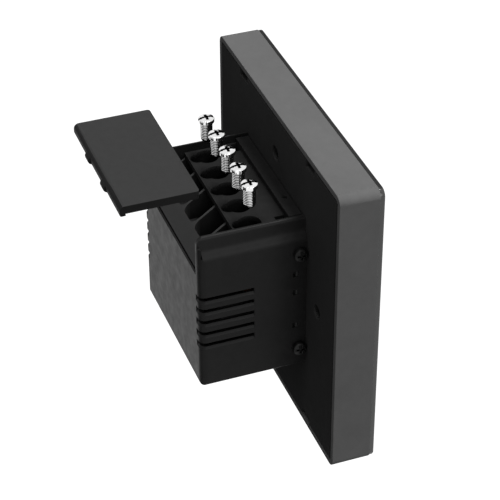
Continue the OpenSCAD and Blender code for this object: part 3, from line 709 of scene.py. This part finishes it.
@dataclass(frozen=True)
class PhotoCamera:
    """The camera that took the photograph, found from the panel's corners and the box."""

    place_mm: tuple[float, float, float] = (-374.73, 144.04, 290.61)
    aim_mm: tuple[float, float, float] = (-9.676, 10.501, 8.998)
    roll_deg: float = -0.27
    focal_px: float = 1845.5
    sensor_mm: float = 36.0
    shift: tuple[float, float] = (-0.0012, -0.0033)
    # Nearest and furthest thing it sees, in metres
    clip: tuple[float, float] = (0.01, 100.0)

    def build(self) -> bpy.types.Object:
        """Builds the camera and makes it the scene's.

        Returns:
            The camera's object.
        """
        data = bpy.data.cameras.new("photo_camera")
        data.sensor_width = self.sensor_mm
        data.lens = self.focal_px / PHOTO_WIDTH_PX * self.sensor_mm
        data.shift_x, data.shift_y = self.shift
        data.clip_start, data.clip_end = self.clip
        camera = add_object("photo_camera", data)
        place = Vector(self.place_mm) * MM
        forward = Vector(self.aim_mm) * MM - place
        level = forward.to_track_quat("-Z", "Y").to_matrix().to_4x4()
        roll = Matrix.Rotation(math.radians(self.roll_deg), 4, "Z")
        camera.matrix_world = Matrix.Translation(place) @ level @ roll
        bpy.context.scene.camera = camera
        return camera


@dataclass(frozen=True)
class SoftBox:
    """One square lamp, aimed at the middle of the object. Places and sizes are in metres."""

    name: str
    place: tuple[float, float, float]
    side: float
    power: float

    def build(self) -> bpy.types.Object:
        """Builds the lamp.

        Returns:
            The lamp's object.
        """
        data = bpy.data.lights.new(self.name, "AREA")
        data.shape = "SQUARE"
        data.size = self.side
        data.energy = self.power
        lamp = add_object(self.name, data)
        lamp.location = self.place
        lamp.rotation_mode = "QUATERNION"
        lamp.rotation_quaternion = (-Vector(self.place)).to_track_quat("-Z", "Y")
        return lamp


@dataclass(frozen=True)
class FlagCard:
    """A black card, unseen by the camera, that keeps light off one side. Sizes are in metres."""

    name: str
    place: tuple[float, float, float]
    width: float
    height: float
    turn_deg: float
    # Held so close that only mirror images are to show it, and no shade
    mirrored_only: bool = False
    cloth: str = "050505"

    def build(self) -> bpy.types.Object:
        """Builds the card, upright and facing along X before its turn.

        Returns:
            The card's object.
        """
        half = self.width / 2
        rise = self.height / 2
        corners = [(0, -half, -rise), (0, half, -rise), (0, half, rise), (0, -half, rise)]
        mesh = bpy.data.meshes.new(self.name)
        mesh.from_pydata(corners, [], [(0, 1, 2, 3)])
        card = add_object(self.name, mesh)
        card.location = self.place
        card.rotation_euler.z = math.radians(self.turn_deg)
        card.visible_camera = False
        card.visible_shadow = not self.mirrored_only
        card.visible_diffuse = not self.mirrored_only
        material, tree = new_material("black_flag_cloth")
        cloth = add_node(tree, "ShaderNodeBsdfDiffuse", {"Color": linear(self.cloth)})
        add_node(tree, "ShaderNodeOutputMaterial", links={"Surface": cloth.outputs["BSDF"]})
        mesh.materials.append(material)
        return card


@dataclass
class Studio:
    """A pale floor, a white surround, three soft lamps, and a black card behind and one in front.

    Places and sizes are in metres, and lamp powers in watts.
    """

    floor_z: float = -0.3
    floor_half: float = 30.0
    paper: str = "F2F2F2"
    white: str = "FFFFFF"
    ambient: float = 0.28
    floor_glow: float = 1.25
    floor_share: float = 0.75
    lamps: tuple[SoftBox, ...] = (
        SoftBox("top_front_softbox", (-0.1, -0.36, 1.6), 0.4, 19.0),
        SoftBox("top_rear_softbox", (-0.1, 0.35, 1.6), 0.4, 4.0),
        SoftBox("left_softbox", (-1.5, -0.2, 0.6), 1.0, 8.0),
    )
    # The first keeps the box's rear dark, the second darkens what the glass's edge mirrors
    cards: tuple[FlagCard, ...] = (
        FlagCard("rear_card", (0.0, 0.3, -0.2), 0.3, 0.2, 90.0),
        FlagCard("edge_card", (0.01, -0.0155, 0.048), 0.1, 0.009, 90.0, True),
    )

    def seen_directly(self, tree: bpy.types.NodeTree) -> bpy.types.NodeSocket:
        """Gives 1 where the camera sees a surface, straight or through metal and glass.

        Args:
            tree: the node tree that takes the nodes.

        Returns:
            The value output.
        """
        path = add_node(tree, "ShaderNodeLightPath")
        seen = path.outputs["Is Camera Ray"]
        for way in ("Is Glossy Ray", "Is Transmission Ray"):
            either = add_node(
                tree,
                "ShaderNodeMath",
                {"operation": "MAXIMUM"},
                {0: seen, 1: path.outputs[way]},
            )
            seen = either.outputs["Value"]
        return seen

    def build_world(self) -> None:
        """Makes the surround white to the camera and a dimmer grey to the surfaces it lights."""
        world = bpy.data.worlds.new("white_surround")
        world.use_nodes = True
        tree = world.node_tree
        tree.nodes.clear()
        strength = add_node(
            tree,
            "ShaderNodeMapRange",
            {"To Min": self.ambient, "To Max": 1.0},
            {"Value": self.seen_directly(tree)},
        )
        shine = add_node(
            tree,
            "ShaderNodeBackground",
            {"Color": linear(self.white)},
            {"Strength": strength.outputs["Result"]},
        )
        add_node(tree, "ShaderNodeOutputWorld", links={"Surface": shine.outputs["Background"]})
        bpy.context.scene.world = world

    def build_floor(self) -> bpy.types.Object:
        """Builds the plain pale floor, which keeps shadows and reads as white to the camera.

        Returns:
            The floor's object.
        """
        mesh = bpy.data.meshes.new("floor")
        half = self.floor_half
        corners = [(-half, -half, 0), (half, -half, 0), (half, half, 0), (-half, half, 0)]
        mesh.from_pydata(corners, [], [(0, 1, 2, 3)])
        floor = add_object("floor", mesh)
        floor.location.z = self.floor_z
        material, tree = new_material("white_paper_floor")
        paper = add_node(tree, "ShaderNodeBsdfDiffuse", {"Color": linear(self.paper)})
        strength = add_node(
            tree,
            "ShaderNodeMath",
            {"operation": "MULTIPLY", 1: self.floor_glow},
            {0: self.seen_directly(tree)},
        )
        glow = add_node(
            tree,
            "ShaderNodeEmission",
            {"Color": linear(self.white)},
            {"Strength": strength.outputs["Value"]},
        )
        both = add_node(
            tree,
            "ShaderNodeMixShader",
            {0: self.floor_share},
            {1: paper.outputs["BSDF"], 2: glow.outputs["Emission"]},
        )
        add_node(tree, "ShaderNodeOutputMaterial", links={"Surface": both.outputs["Shader"]})
        mesh.materials.append(material)
        return floor

    def build(self) -> None:
        """Builds the whole studio."""
        self.build_world()
        self.build_floor()
        for lamp in self.lamps:
            lamp.build()
        for card in self.cards:
            card.build()
        bpy.context.scene.view_settings.view_transform = "Standard"


@dataclass(frozen=True)
class EdgeRounding:
    """Rounds a CAD node's sharp edges with modifiers, which leave its own mesh as it is."""

    # Points this close become one, and faces this near to level with each other one flat
    join_mm: float = 0.002
    flat_deg: float = 1.0
    # Edges sharper than this are rounded
    sharp_deg: float = 40.0
    segments: int = 2

    def apply(self, node: bpy.types.Object, width_mm: float) -> None:
        """Adds the modifiers to a node.

        Args:
            node: the CAD node's object.
            width_mm: how far the round reaches from an edge.
        """
        weld = node.modifiers.new("join_corners", "WELD")
        weld.merge_threshold = self.join_mm * MM
        flat = node.modifiers.new("join_flats", "DECIMATE")
        flat.decimate_type = "DISSOLVE"
        flat.angle_limit = math.radians(self.flat_deg)
        bevel = node.modifiers.new("round_edges", "BEVEL")
        bevel.width = width_mm * MM
        bevel.segments = self.segments
        bevel.limit_method = "ANGLE"
        bevel.angle_limit = math.radians(self.sharp_deg)
        bevel.use_clamp_overlap = True
        bevel.harden_normals = True


def dress(node: bpy.types.Object, material: bpy.types.Material) -> None:
    """Puts one material on every slot of a node.

    Args:
        node: the node's object.
        material: the finish.
    """
    if not node.data.materials:
        node.data.materials.append(material)
    for slot in node.material_slots:
        slot.material = material


@dataclass
class Finishes:
    """Every finish of the panel, built once."""

    made: dict[Finish, bpy.types.Material] = field(default_factory=dict)
    # Width of the window inside the ink's border
    glass_window_mm: float = 72.0
    display_window_mm: float = 70.0

    def plastics(self) -> list[MouldedPlastic]:
        """Lists the plastics: darker and lighter patches, worn edge, roughness, specular level.

        Returns:
            The recipes.
        """
        ramp_side = (0.0, 0.7, 0.7)
        top_side = (0.0, 0.0, 1.0)
        block = ("242424", "282828", "343434", 0.5, 0.0)
        cover = ("1B1B1B", "1F1F1F", "2B2B2B", 0.5, 0.03)
        return [
            MouldedPlastic(Finish.RIM, "636363", "676767", "787878", 0.42, 0.0),
            MouldedPlastic(Finish.PLATE, "383838", "3B3B3B", "444444", 0.6, 0.0),
            MouldedPlastic(Finish.BOX, "1D1D1D", "212121", "2B2B2B", 0.4, 0.06),
            # Painted light on the ramp
            PaintedLightPlastic(Finish.TERMINALS, *block, painted_light="404040", towards=ramp_side),
            # Painted light on the cover's top
            PaintedLightPlastic(Finish.COVER, *cover, painted_light="373737", towards=top_side),
            MouldedPlastic(Finish.CONNECTOR, "141414", "191919", "303030", 0.45, 0.4),
            MouldedPlastic(Finish.RELAY, "101011", "141415", "2A2A2B", 0.4, 0.3),
            MouldedPlastic(Finish.FILM_BOX, "B98A1E", "C29428", "D9B763", 0.4, 0.5),
            MouldedPlastic(Finish.FUSE, "4A2A18", "55321E", "7A5640", 0.4, 0.5),
            MouldedPlastic(Finish.CHIP, "121213", "18181A", "2A2A2C", 0.55, 0.4),
            MouldedPlastic(Finish.FERRITE, "2A2A2C", "343437", "55555A", 0.5, 0.4),
            MouldedPlastic(Finish.SLEEVE, "17181C", "1E1F24", "3A3C44", 0.35, 0.4),
            MouldedPlastic(Finish.RIBBON, "9A5A1A", "A96620", "C08A4C", 0.3, 0.5),
        ]

    def metals(self) -> list[PlatedMetal]:
        """Lists the metals: darker and lighter patches, roughness.

        Returns:
            The recipes.
        """
        return [
            PlatedMetal(Finish.NICKEL, "E2E2E2", "F2F2F2", 0.08),
            PlatedMetal(Finish.CLAMP, "1C1B1A", "262524", 0.4),
            PlatedMetal(Finish.THREAD, "C6C6C6", "DADADA", 0.08),
            # Painted shade for the cross recess and the thread roots
            PlatedMetal(Finish.PAINTED_SHADE, "0A0A0A", "121212", 0.5),
            PlatedMetal(Finish.ZINC, "A9ABA8", "BFC1BD", 0.3),
            PlatedMetal(Finish.BLACK_STEEL, "1E1E1E", "2A2A2A", 0.5),
            PlatedMetal(Finish.TIN, "9EA0A2", "B4B6B8", 0.3),
            PlatedMetal(Finish.COPPER, "7E4420", "94532A", 0.3),
        ]

    def build(self) -> None:
        """Builds all materials and keeps them by finish."""
        pane_mm = 2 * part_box("front_bezel")[1].x / MM
        recipes = [
            *self.plastics(),
            *self.metals(),
            PrintedGlass(Finish.GLASS, "050505", "0A0B0C", self.glass_window_mm, pane_mm),
            PrintedGlass(Finish.DISPLAY, "0C0D10", "12141A", self.display_window_mm, pane_mm),
            CircuitBoard(Finish.BOARD, "0E3B26", "1C5A3A"),
        ]
        for recipe in recipes:
            self.made[recipe.finish] = recipe.build()

    def get(self, finish: Finish) -> bpy.types.Material:
        """Returns the material of that finish."""
        return self.made[finish]


@dataclass
class DressedNodes:
    """CAD nodes whose shapes are right, and that get a finish and rounded edges."""

    finishes: Finishes
    nodes: dict[str, bpy.types.Object]
    rounding: EdgeRounding = EdgeRounding()
    clamp_round_mm: float = 0.12
    # Node name, finish, and how far its edges are rounded in millimetres, or none
    plan: tuple[tuple[str, Finish, float], ...] = (
        ("front_bezel", Finish.RIM, 0.15),
        ("display_cell", Finish.DISPLAY, 0.0),
        ("backlight_tray", Finish.TIN, 0.15),
        ("inner_chassis", Finish.PLATE, 0.15),
        ("main_board", Finish.BOARD, 0.0),
        ("shield_can", Finish.TIN, 0.12),
        ("radio_module", Finish.TIN, 0.1),
        ("display_ribbon", Finish.RIBBON, 0.0),
        ("link_plug", Finish.CONNECTOR, 0.0),
        ("main_board_screws", Finish.ZINC, 0.0),
        ("mounting_plate", Finish.PLATE, 0.12),
        ("box_housing", Finish.BOX, 0.0),
        ("box_screws", Finish.BLACK_STEEL, 0.1),
        ("terminal_block", Finish.TERMINALS, 0.12),
        ("terminal_cover", Finish.COVER, 0.2),
        ("power_board", Finish.BOARD, 0.0),
        ("power_board_screws", Finish.ZINC, 0.0),
        ("link_socket", Finish.CONNECTOR, 0.0),
        ("relay_1", Finish.RELAY, 0.2),
        ("relay_2", Finish.RELAY, 0.2),
        ("relay_3", Finish.RELAY, 0.2),
        ("transformer", Finish.FERRITE, 0.15),
        ("storage_capacitor", Finish.SLEEVE, 0.15),
        ("film_capacitor", Finish.FILM_BOX, 0.2),
        ("fuse", Finish.FUSE, 0.15),
        ("choke", Finish.COPPER, 0.0),
        ("driver_chip", Finish.CHIP, 0.1),
    )

    def build(self) -> None:
        """Dresses every node in the plan, and the clamp of each pole."""
        clamps = [(f"terminal_clamp_{i}", Finish.CLAMP, self.clamp_round_mm) for i in range(1, POLES + 1)]
        for name, finish, round_mm in [*self.plan, *clamps]:
            dress(self.nodes[name], self.finishes.get(finish))
            if round_mm:
                self.rounding.apply(self.nodes[name], round_mm)
            LOG.info("%s wears %s", name, finish.value)


@dataclass
class FrontGlass:
    """The front glass, flush with the rim, with a narrow round on its front edge.

    Sizes are in millimetres.
    """

    finishes: Finishes
    inset: float = 0.15
    corner_r: float = 2.4
    edge_r: float = 0.5
    corner_steps: int = 10
    edge_steps: int = 5
    # Signs of X and Z at the middle of each corner's round, in order of turning
    corners: tuple[tuple[int, int], ...] = ((1, 1), (-1, 1), (-1, -1), (1, -1))

    def ring(self, mesh: bmesh.types.BMesh, half: float, y: float, inwards: float) -> Ring:
        """Adds one ring of the square outline.

        Args:
            mesh: the mesh that takes the points.
            half: half the width of the pane.
            y: the ring's place through the thickness.
            inwards: how far the ring lies inside the pane's outline.

        Returns:
            The ring's points in order.
        """
        radius = self.corner_r - self.inset
        middle = half - radius
        points = []
        for quarter, (side_x, side_z) in enumerate(self.corners):
            for step in range(self.corner_steps + 1):
                turn = QUARTER_TURN * (quarter + step / self.corner_steps)
                x = side_x * middle + (radius - inwards) * math.cos(turn)
                z = side_z * middle + (radius - inwards) * math.sin(turn)
                points.append(mesh.verts.new(Vector((x, y, z)) * MM))
        return points

    def build(self) -> bpy.types.Object:
        """Builds the glass in place of its CAD node.

        Returns:
            The glass's object.
        """
        low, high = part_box("front_glass")
        front = low.y / MM
        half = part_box("front_bezel")[1].x / MM - self.inset
        mesh = bmesh.new()
        rings = [self.ring(mesh, half, high.y / MM, 0.0)]
        for step in range(self.edge_steps + 1):
            turn = QUARTER_TURN * step / self.edge_steps
            depth = self.edge_r * (1 - math.sin(turn))
            rings.append(self.ring(mesh, half, front + depth, self.edge_r * (1 - math.cos(turn))))
        join_rings(mesh, rings)
        mesh.faces.new(rings[0])
        mesh.faces.new(rings[-1])
        bmesh.ops.recalc_face_normals(mesh, faces=mesh.faces)
        data = finished_mesh(mesh, "polished_front_glass", smooth=True)
        data.materials.append(self.finishes.get(Finish.GLASS))
        glass = add_object("polished_front_glass", data)
        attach(glass, "front_panel")
        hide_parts("front_glass")
        return glass


@dataclass
class VentLips:
    """The sloped lower lips of the vent slots, which hide the inside and catch a little light.

    Sizes are in millimetres.
    """

    finishes: Finishes
    count: int = 5
    pitch: float = 3.65
    slot_h: float = 2.0
    top_z: float = 5.7
    front_y: float = 14.4
    wrap: float = 2.9
    corner_r: float = 2.0
    corner_steps: int = 6
    reach: float = 0.4
    rise: float = 0.7
    # How far a lip stays below the box's skin and reaches under the slot's floor
    skin: float = 0.03

    def route(self) -> list[tuple[Vector, Vector]]:
        """Follows the box's outside along one slot.

        Returns:
            Points on the box's outside, each with the direction outwards.
        """
        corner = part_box("box_housing")[1] / MM
        turn_x = corner.x - self.corner_r
        turn_y = corner.y - self.corner_r
        points = [(Vector((corner.x, self.front_y)), Vector((1.0, 0.0)))]
        for step in range(self.corner_steps + 1):
            turn = QUARTER_TURN * step / self.corner_steps
            out = Vector((math.cos(turn), math.sin(turn)))
            points.append((Vector((turn_x, turn_y)) + out * self.corner_r, out))
        points.append((Vector((corner.x - self.wrap, corner.y)), Vector((0.0, 1.0))))
        return points

    def add_lip(self, mesh: bmesh.types.BMesh, side: int, foot_z: float) -> None:
        """Adds one lip, a wedge that rises inwards.

        Args:
            mesh: the mesh that takes the faces.
            side: 1 or -1, for the side of the box.
            foot_z: height of the slot's floor.
        """
        rings = []
        for point, out in self.route():
            outer = point - out * self.skin
            inner = point - out * self.reach
            ring = []
            for place, z in ((outer, foot_z), (inner, foot_z + self.rise), (inner, foot_z - self.skin)):
                ring.append(mesh.verts.new(Vector((side * place.x, place.y, z)) * MM))
            rings.append(ring)
        join_rings(mesh, rings)
        mesh.faces.new(rings[0])
        mesh.faces.new(list(reversed(rings[-1])))

    def build(self) -> bpy.types.Object:
        """Builds the lips of every slot as one object.

        Returns:
            The lips' object.
        """
        mesh = bmesh.new()
        for side in (1, -1):
            for slot in range(self.count):
                self.add_lip(mesh, side, self.top_z - slot * self.pitch - self.slot_h / 2)
        bmesh.ops.recalc_face_normals(mesh, faces=mesh.faces)
        data = finished_mesh(mesh, "vent_lips", smooth=False)
        data.materials.append(self.finishes.get(Finish.BOX))
        lips = add_object("vent_lips", data)
        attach(lips, "wall_unit")
        return lips


@dataclass
class TerminalScrew:
    """A plated terminal screw: rolled thread, pan head, cross recess and slot.

    Sizes are in millimetres. Heights count from the top of the head.
    """

    number: int
    finishes: Finishes
    looks: tuple[Finish, ...] = (Finish.NICKEL, Finish.THREAD, Finish.PAINTED_SHADE)
    head_d: float = 4.3
    head_h: float = 1.5
    head_edge: float = 0.12
    # The cut on the head's lower edge, as a share of the round on its upper edge
    low_edge_share: float = 0.6
    dome_h: float = 0.4
    shank_d: float = 3.3
    length: float = 7.0
    neck: float = 0.5
    tip: float = 0.6
    # How much the tip's radius narrows, as a share of its length
    tip_share: float = 0.45
    pitch: float = 0.5
    # A cut thread is 0.3 mm deep; drawn shallow so that the shank keeps its long streaks of light
    thread_depth: float = 0.05
    # Above 1 the flanks end early and leave a flat crest
    flank_slope: float = 1.25
    # Share of the thread's depth below which the roots get painted shade
    root_share: float = 0.8
    recess_w: float = 0.8
    recess_depth: float = 0.8
    recess_len: float = 2.7
    # How much each wall of the recess leans inwards at its foot
    draft: float = 0.08
    # How far the shank reaches into the head, and the slot's cutter beyond each side of the head
    overlap: float = 0.1
    overrun: float = 0.5
    slack: float = 0.02
    steps_round: int = 40
    steps_per_turn: int = 8
    edge_steps: int = 4
    dome_steps: int = 6

    def thread_radius(self, z: float, angle: float) -> float:
        """Gives the shank's radius at a height and an angle.

        Args:
            z: height, from minus the length up to the head.
            angle: angle about the axis in radians.

        Returns:
            The radius.
        """
        crest = self.shank_d / 2
        root = crest - self.thread_depth
        turn = (z / self.pitch - angle / FULL_TURN) % 1.0
        rise = min(1.0, self.flank_slope * (1 - abs(2 * turn - 1)))
        from_tip = z + self.length
        from_head = -self.head_h - z
        fade = max(0.0, min(1.0, from_tip / self.tip, from_head / self.neck))
        taper = max(0.0, 1 - from_tip / self.tip) * self.tip * self.tip_share
        return root + (crest - root) * rise * fade - taper

    def build_shank(self, mesh: bmesh.types.BMesh) -> None:
        """Adds the threaded shank to a mesh.

        Args:
            mesh: the mesh that takes the faces.
        """
        low = -self.length
        high = -self.head_h + self.overlap
        rows = round((high - low) / self.pitch * self.steps_per_turn)
        rings = []
        for row in range(rows + 1):
            z = low + (high - low) * row / rows
            ring = []
            for step in range(self.steps_round):
                angle = FULL_TURN * step / self.steps_round
                radius = self.thread_radius(z, angle)
                ring.append(mesh.verts.new((radius * math.cos(angle), radius * math.sin(angle), z)))
            rings.append(ring)
        join_rings(mesh, rings)
        mesh.faces.new(list(reversed(rings[0])))
        mesh.faces.new(rings[-1])

    def finish_thread(self, mesh: bmesh.types.BMesh) -> None:
        """Gives the shank the greyer thread finish, and its roots painted shade.

        Args:
            mesh: the mesh that holds the head and the shank.
        """
        root = self.shank_d / 2 - self.thread_depth * self.root_share
        for face in mesh.faces:
            centre = face.calc_center_median()
            if centre.z < -self.head_h - self.slack:
                # Painted shade in the thread roots
                in_root = math.hypot(centre.x, centre.y) < root
                face.material_index = self.looks.index(Finish.PAINTED_SHADE if in_root else Finish.THREAD)

    def head_profile(self) -> list[tuple[float, float]]:
        """Draws the head's outline.

        Returns:
            Radius and height pairs, from the axis below to the axis above.
        """
        half = self.head_d / 2
        low = -self.head_h
        edge = self.head_edge
        low_edge = edge * self.low_edge_share
        dome_foot = -self.dome_h
        points = [(0.0, low), (half - low_edge, low), (half, low + low_edge), (half, dome_foot - edge)]
        for step in range(1, self.edge_steps + 1):
            turn = QUARTER_TURN * step / self.edge_steps
            points.append((half - edge * (1 - math.cos(turn)), dome_foot - edge + edge * math.sin(turn)))
        for step in range(1, self.dome_steps + 1):
            share = step / self.dome_steps
            radius = (half - edge) * (1 - share)
            height = dome_foot + self.dome_h * (1 - (1 - share) ** 2)
            points.append((radius, height))
        return points

    def turned_head(self) -> bpy.types.Mesh:
        """Turns the head's outline about its axis.

        Returns:
            The head's mesh without its recess.
        """
        head = bmesh.new()
        rings = []
        for radius, height in self.head_profile():
            steps = self.steps_round if radius > 0 else 1
            ring = []
            for step in range(steps):
                angle = FULL_TURN * step / steps
                ring.append(head.verts.new((radius * math.cos(angle), radius * math.sin(angle), height)))
            rings.append(ring)
        join_rings(head, rings)
        bmesh.ops.recalc_face_normals(head, faces=head.faces)
        return finished_mesh(head, "head_solid", smooth=False)

    def build_head(self) -> bpy.types.Mesh:
        """Builds the head with its cross recess and slot cut in.

        Returns:
            The head's mesh.
        """
        body = add_object("head_solid", self.turned_head())
        cutters = [
            self.build_cutter(self.recess_w, self.head_d + 2 * self.overrun),
            self.build_cutter(self.recess_len, self.recess_w),
        ]
        for cutter in cutters:
            cut = body.modifiers.new("cut", "BOOLEAN")
            cut.operation = "DIFFERENCE"
            cut.solver = "EXACT"
            cut.object = cutter
        bpy.context.view_layer.update()
        graph = bpy.context.evaluated_depsgraph_get()
        made = bpy.data.meshes.new_from_object(body.evaluated_get(graph))
        for spent in [body, *cutters]:
            bpy.data.objects.remove(spent)
        self.paint_recess_shade(made)
        return made

    def paint_recess_shade(self, head: bpy.types.Mesh) -> None:
        """Gives the faces inside the cross recess painted shade.

        Args:
            head: the head's mesh.
        """
        half_w = self.recess_w / 2 + self.slack
        for face in head.polygons:
            across_x = abs(face.center.x)
            in_slot = across_x < half_w
            in_arm = abs(face.center.y) < half_w and across_x < self.recess_len / 2 + self.slack
            in_depth = face.center.z > -self.recess_depth - self.slack
            # Painted shade on the faces inside the recess
            if (in_slot or in_arm) and in_depth and not self.on_rim(face):
                face.material_index = self.looks.index(Finish.PAINTED_SHADE)

    def on_rim(self, face: bpy.types.MeshPolygon) -> bool:
        """Tells whether a face of the head lies on its outer wall."""
        return math.hypot(face.center.x, face.center.y) > self.head_d / 2 - self.head_edge

    def build_cutter(self, size_x: float, size_y: float) -> bpy.types.Object:
        """Builds one arm of the recess as a solid that narrows downwards.

        Args:
            size_x: its width along X at the top.
            size_y: its width along Y at the top.

        Returns:
            The cutter's object.
        """
        corners = []
        for z, inset in ((-self.recess_depth, self.draft), (self.head_h, 0.0)):
            half_x = size_x / 2 - inset
            half_y = size_y / 2 - inset
            for side_x, side_y in ((-1, -1), (1, -1), (1, 1), (-1, 1)):
                corners.append((side_x * half_x, side_y * half_y, z))
        faces = [(3, 2, 1, 0), (4, 5, 6, 7), (0, 1, 5, 4), (1, 2, 6, 5), (2, 3, 7, 6), (3, 0, 4, 7)]
        mesh = bpy.data.meshes.new("recess_cutter")
        mesh.from_pydata(corners, [], faces)
        return add_object("recess_cutter", mesh)

    def build(self) -> bpy.types.Object:
        """Builds the screw in place of its CAD node.

        Returns:
            The screw's object.
        """
        node_name = f"terminal_screw_{self.number}"
        low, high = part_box(node_name)
        mesh = bmesh.new()
        mesh.from_mesh(self.build_head())
        self.build_shank(mesh)
        self.finish_thread(mesh)
        centre = (low + high) / 2
        mesh.transform(Matrix.Translation((centre.x, centre.y, high.z)) @ Matrix.Scale(MM, 4))
        data = finished_mesh(mesh, f"threaded_screw_{self.number}", smooth=True)
        for look in self.looks:
            data.materials.append(self.finishes.get(look))
        screw = add_object(f"threaded_screw_{self.number}", data)
        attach(screw, f"screw_{self.number}")
        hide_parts(node_name)
        return screw


def main() -> None:
    """Builds the camera, the studio and every piece, in that order."""
    logging.basicConfig(level=logging.INFO, format="%(name)s: %(message)s")
    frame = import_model()
    PhotoCamera().build()
    Studio().build()
    finishes = Finishes()
    finishes.build()
    DressedNodes(finishes, frame["nodes"]).build()
    glass = FrontGlass(finishes).build()
    LOG.info("%s stands for its CAD node", glass.name)
    lips = VentLips(finishes).build()
    LOG.info("%s added to the vent slots", lips.name)
    for number in range(1, POLES + 1):
        screw = TerminalScrew(number, finishes).build()
        LOG.info("%s stands for its CAD node", screw.name)


if __name__ == "__main__":
    main()
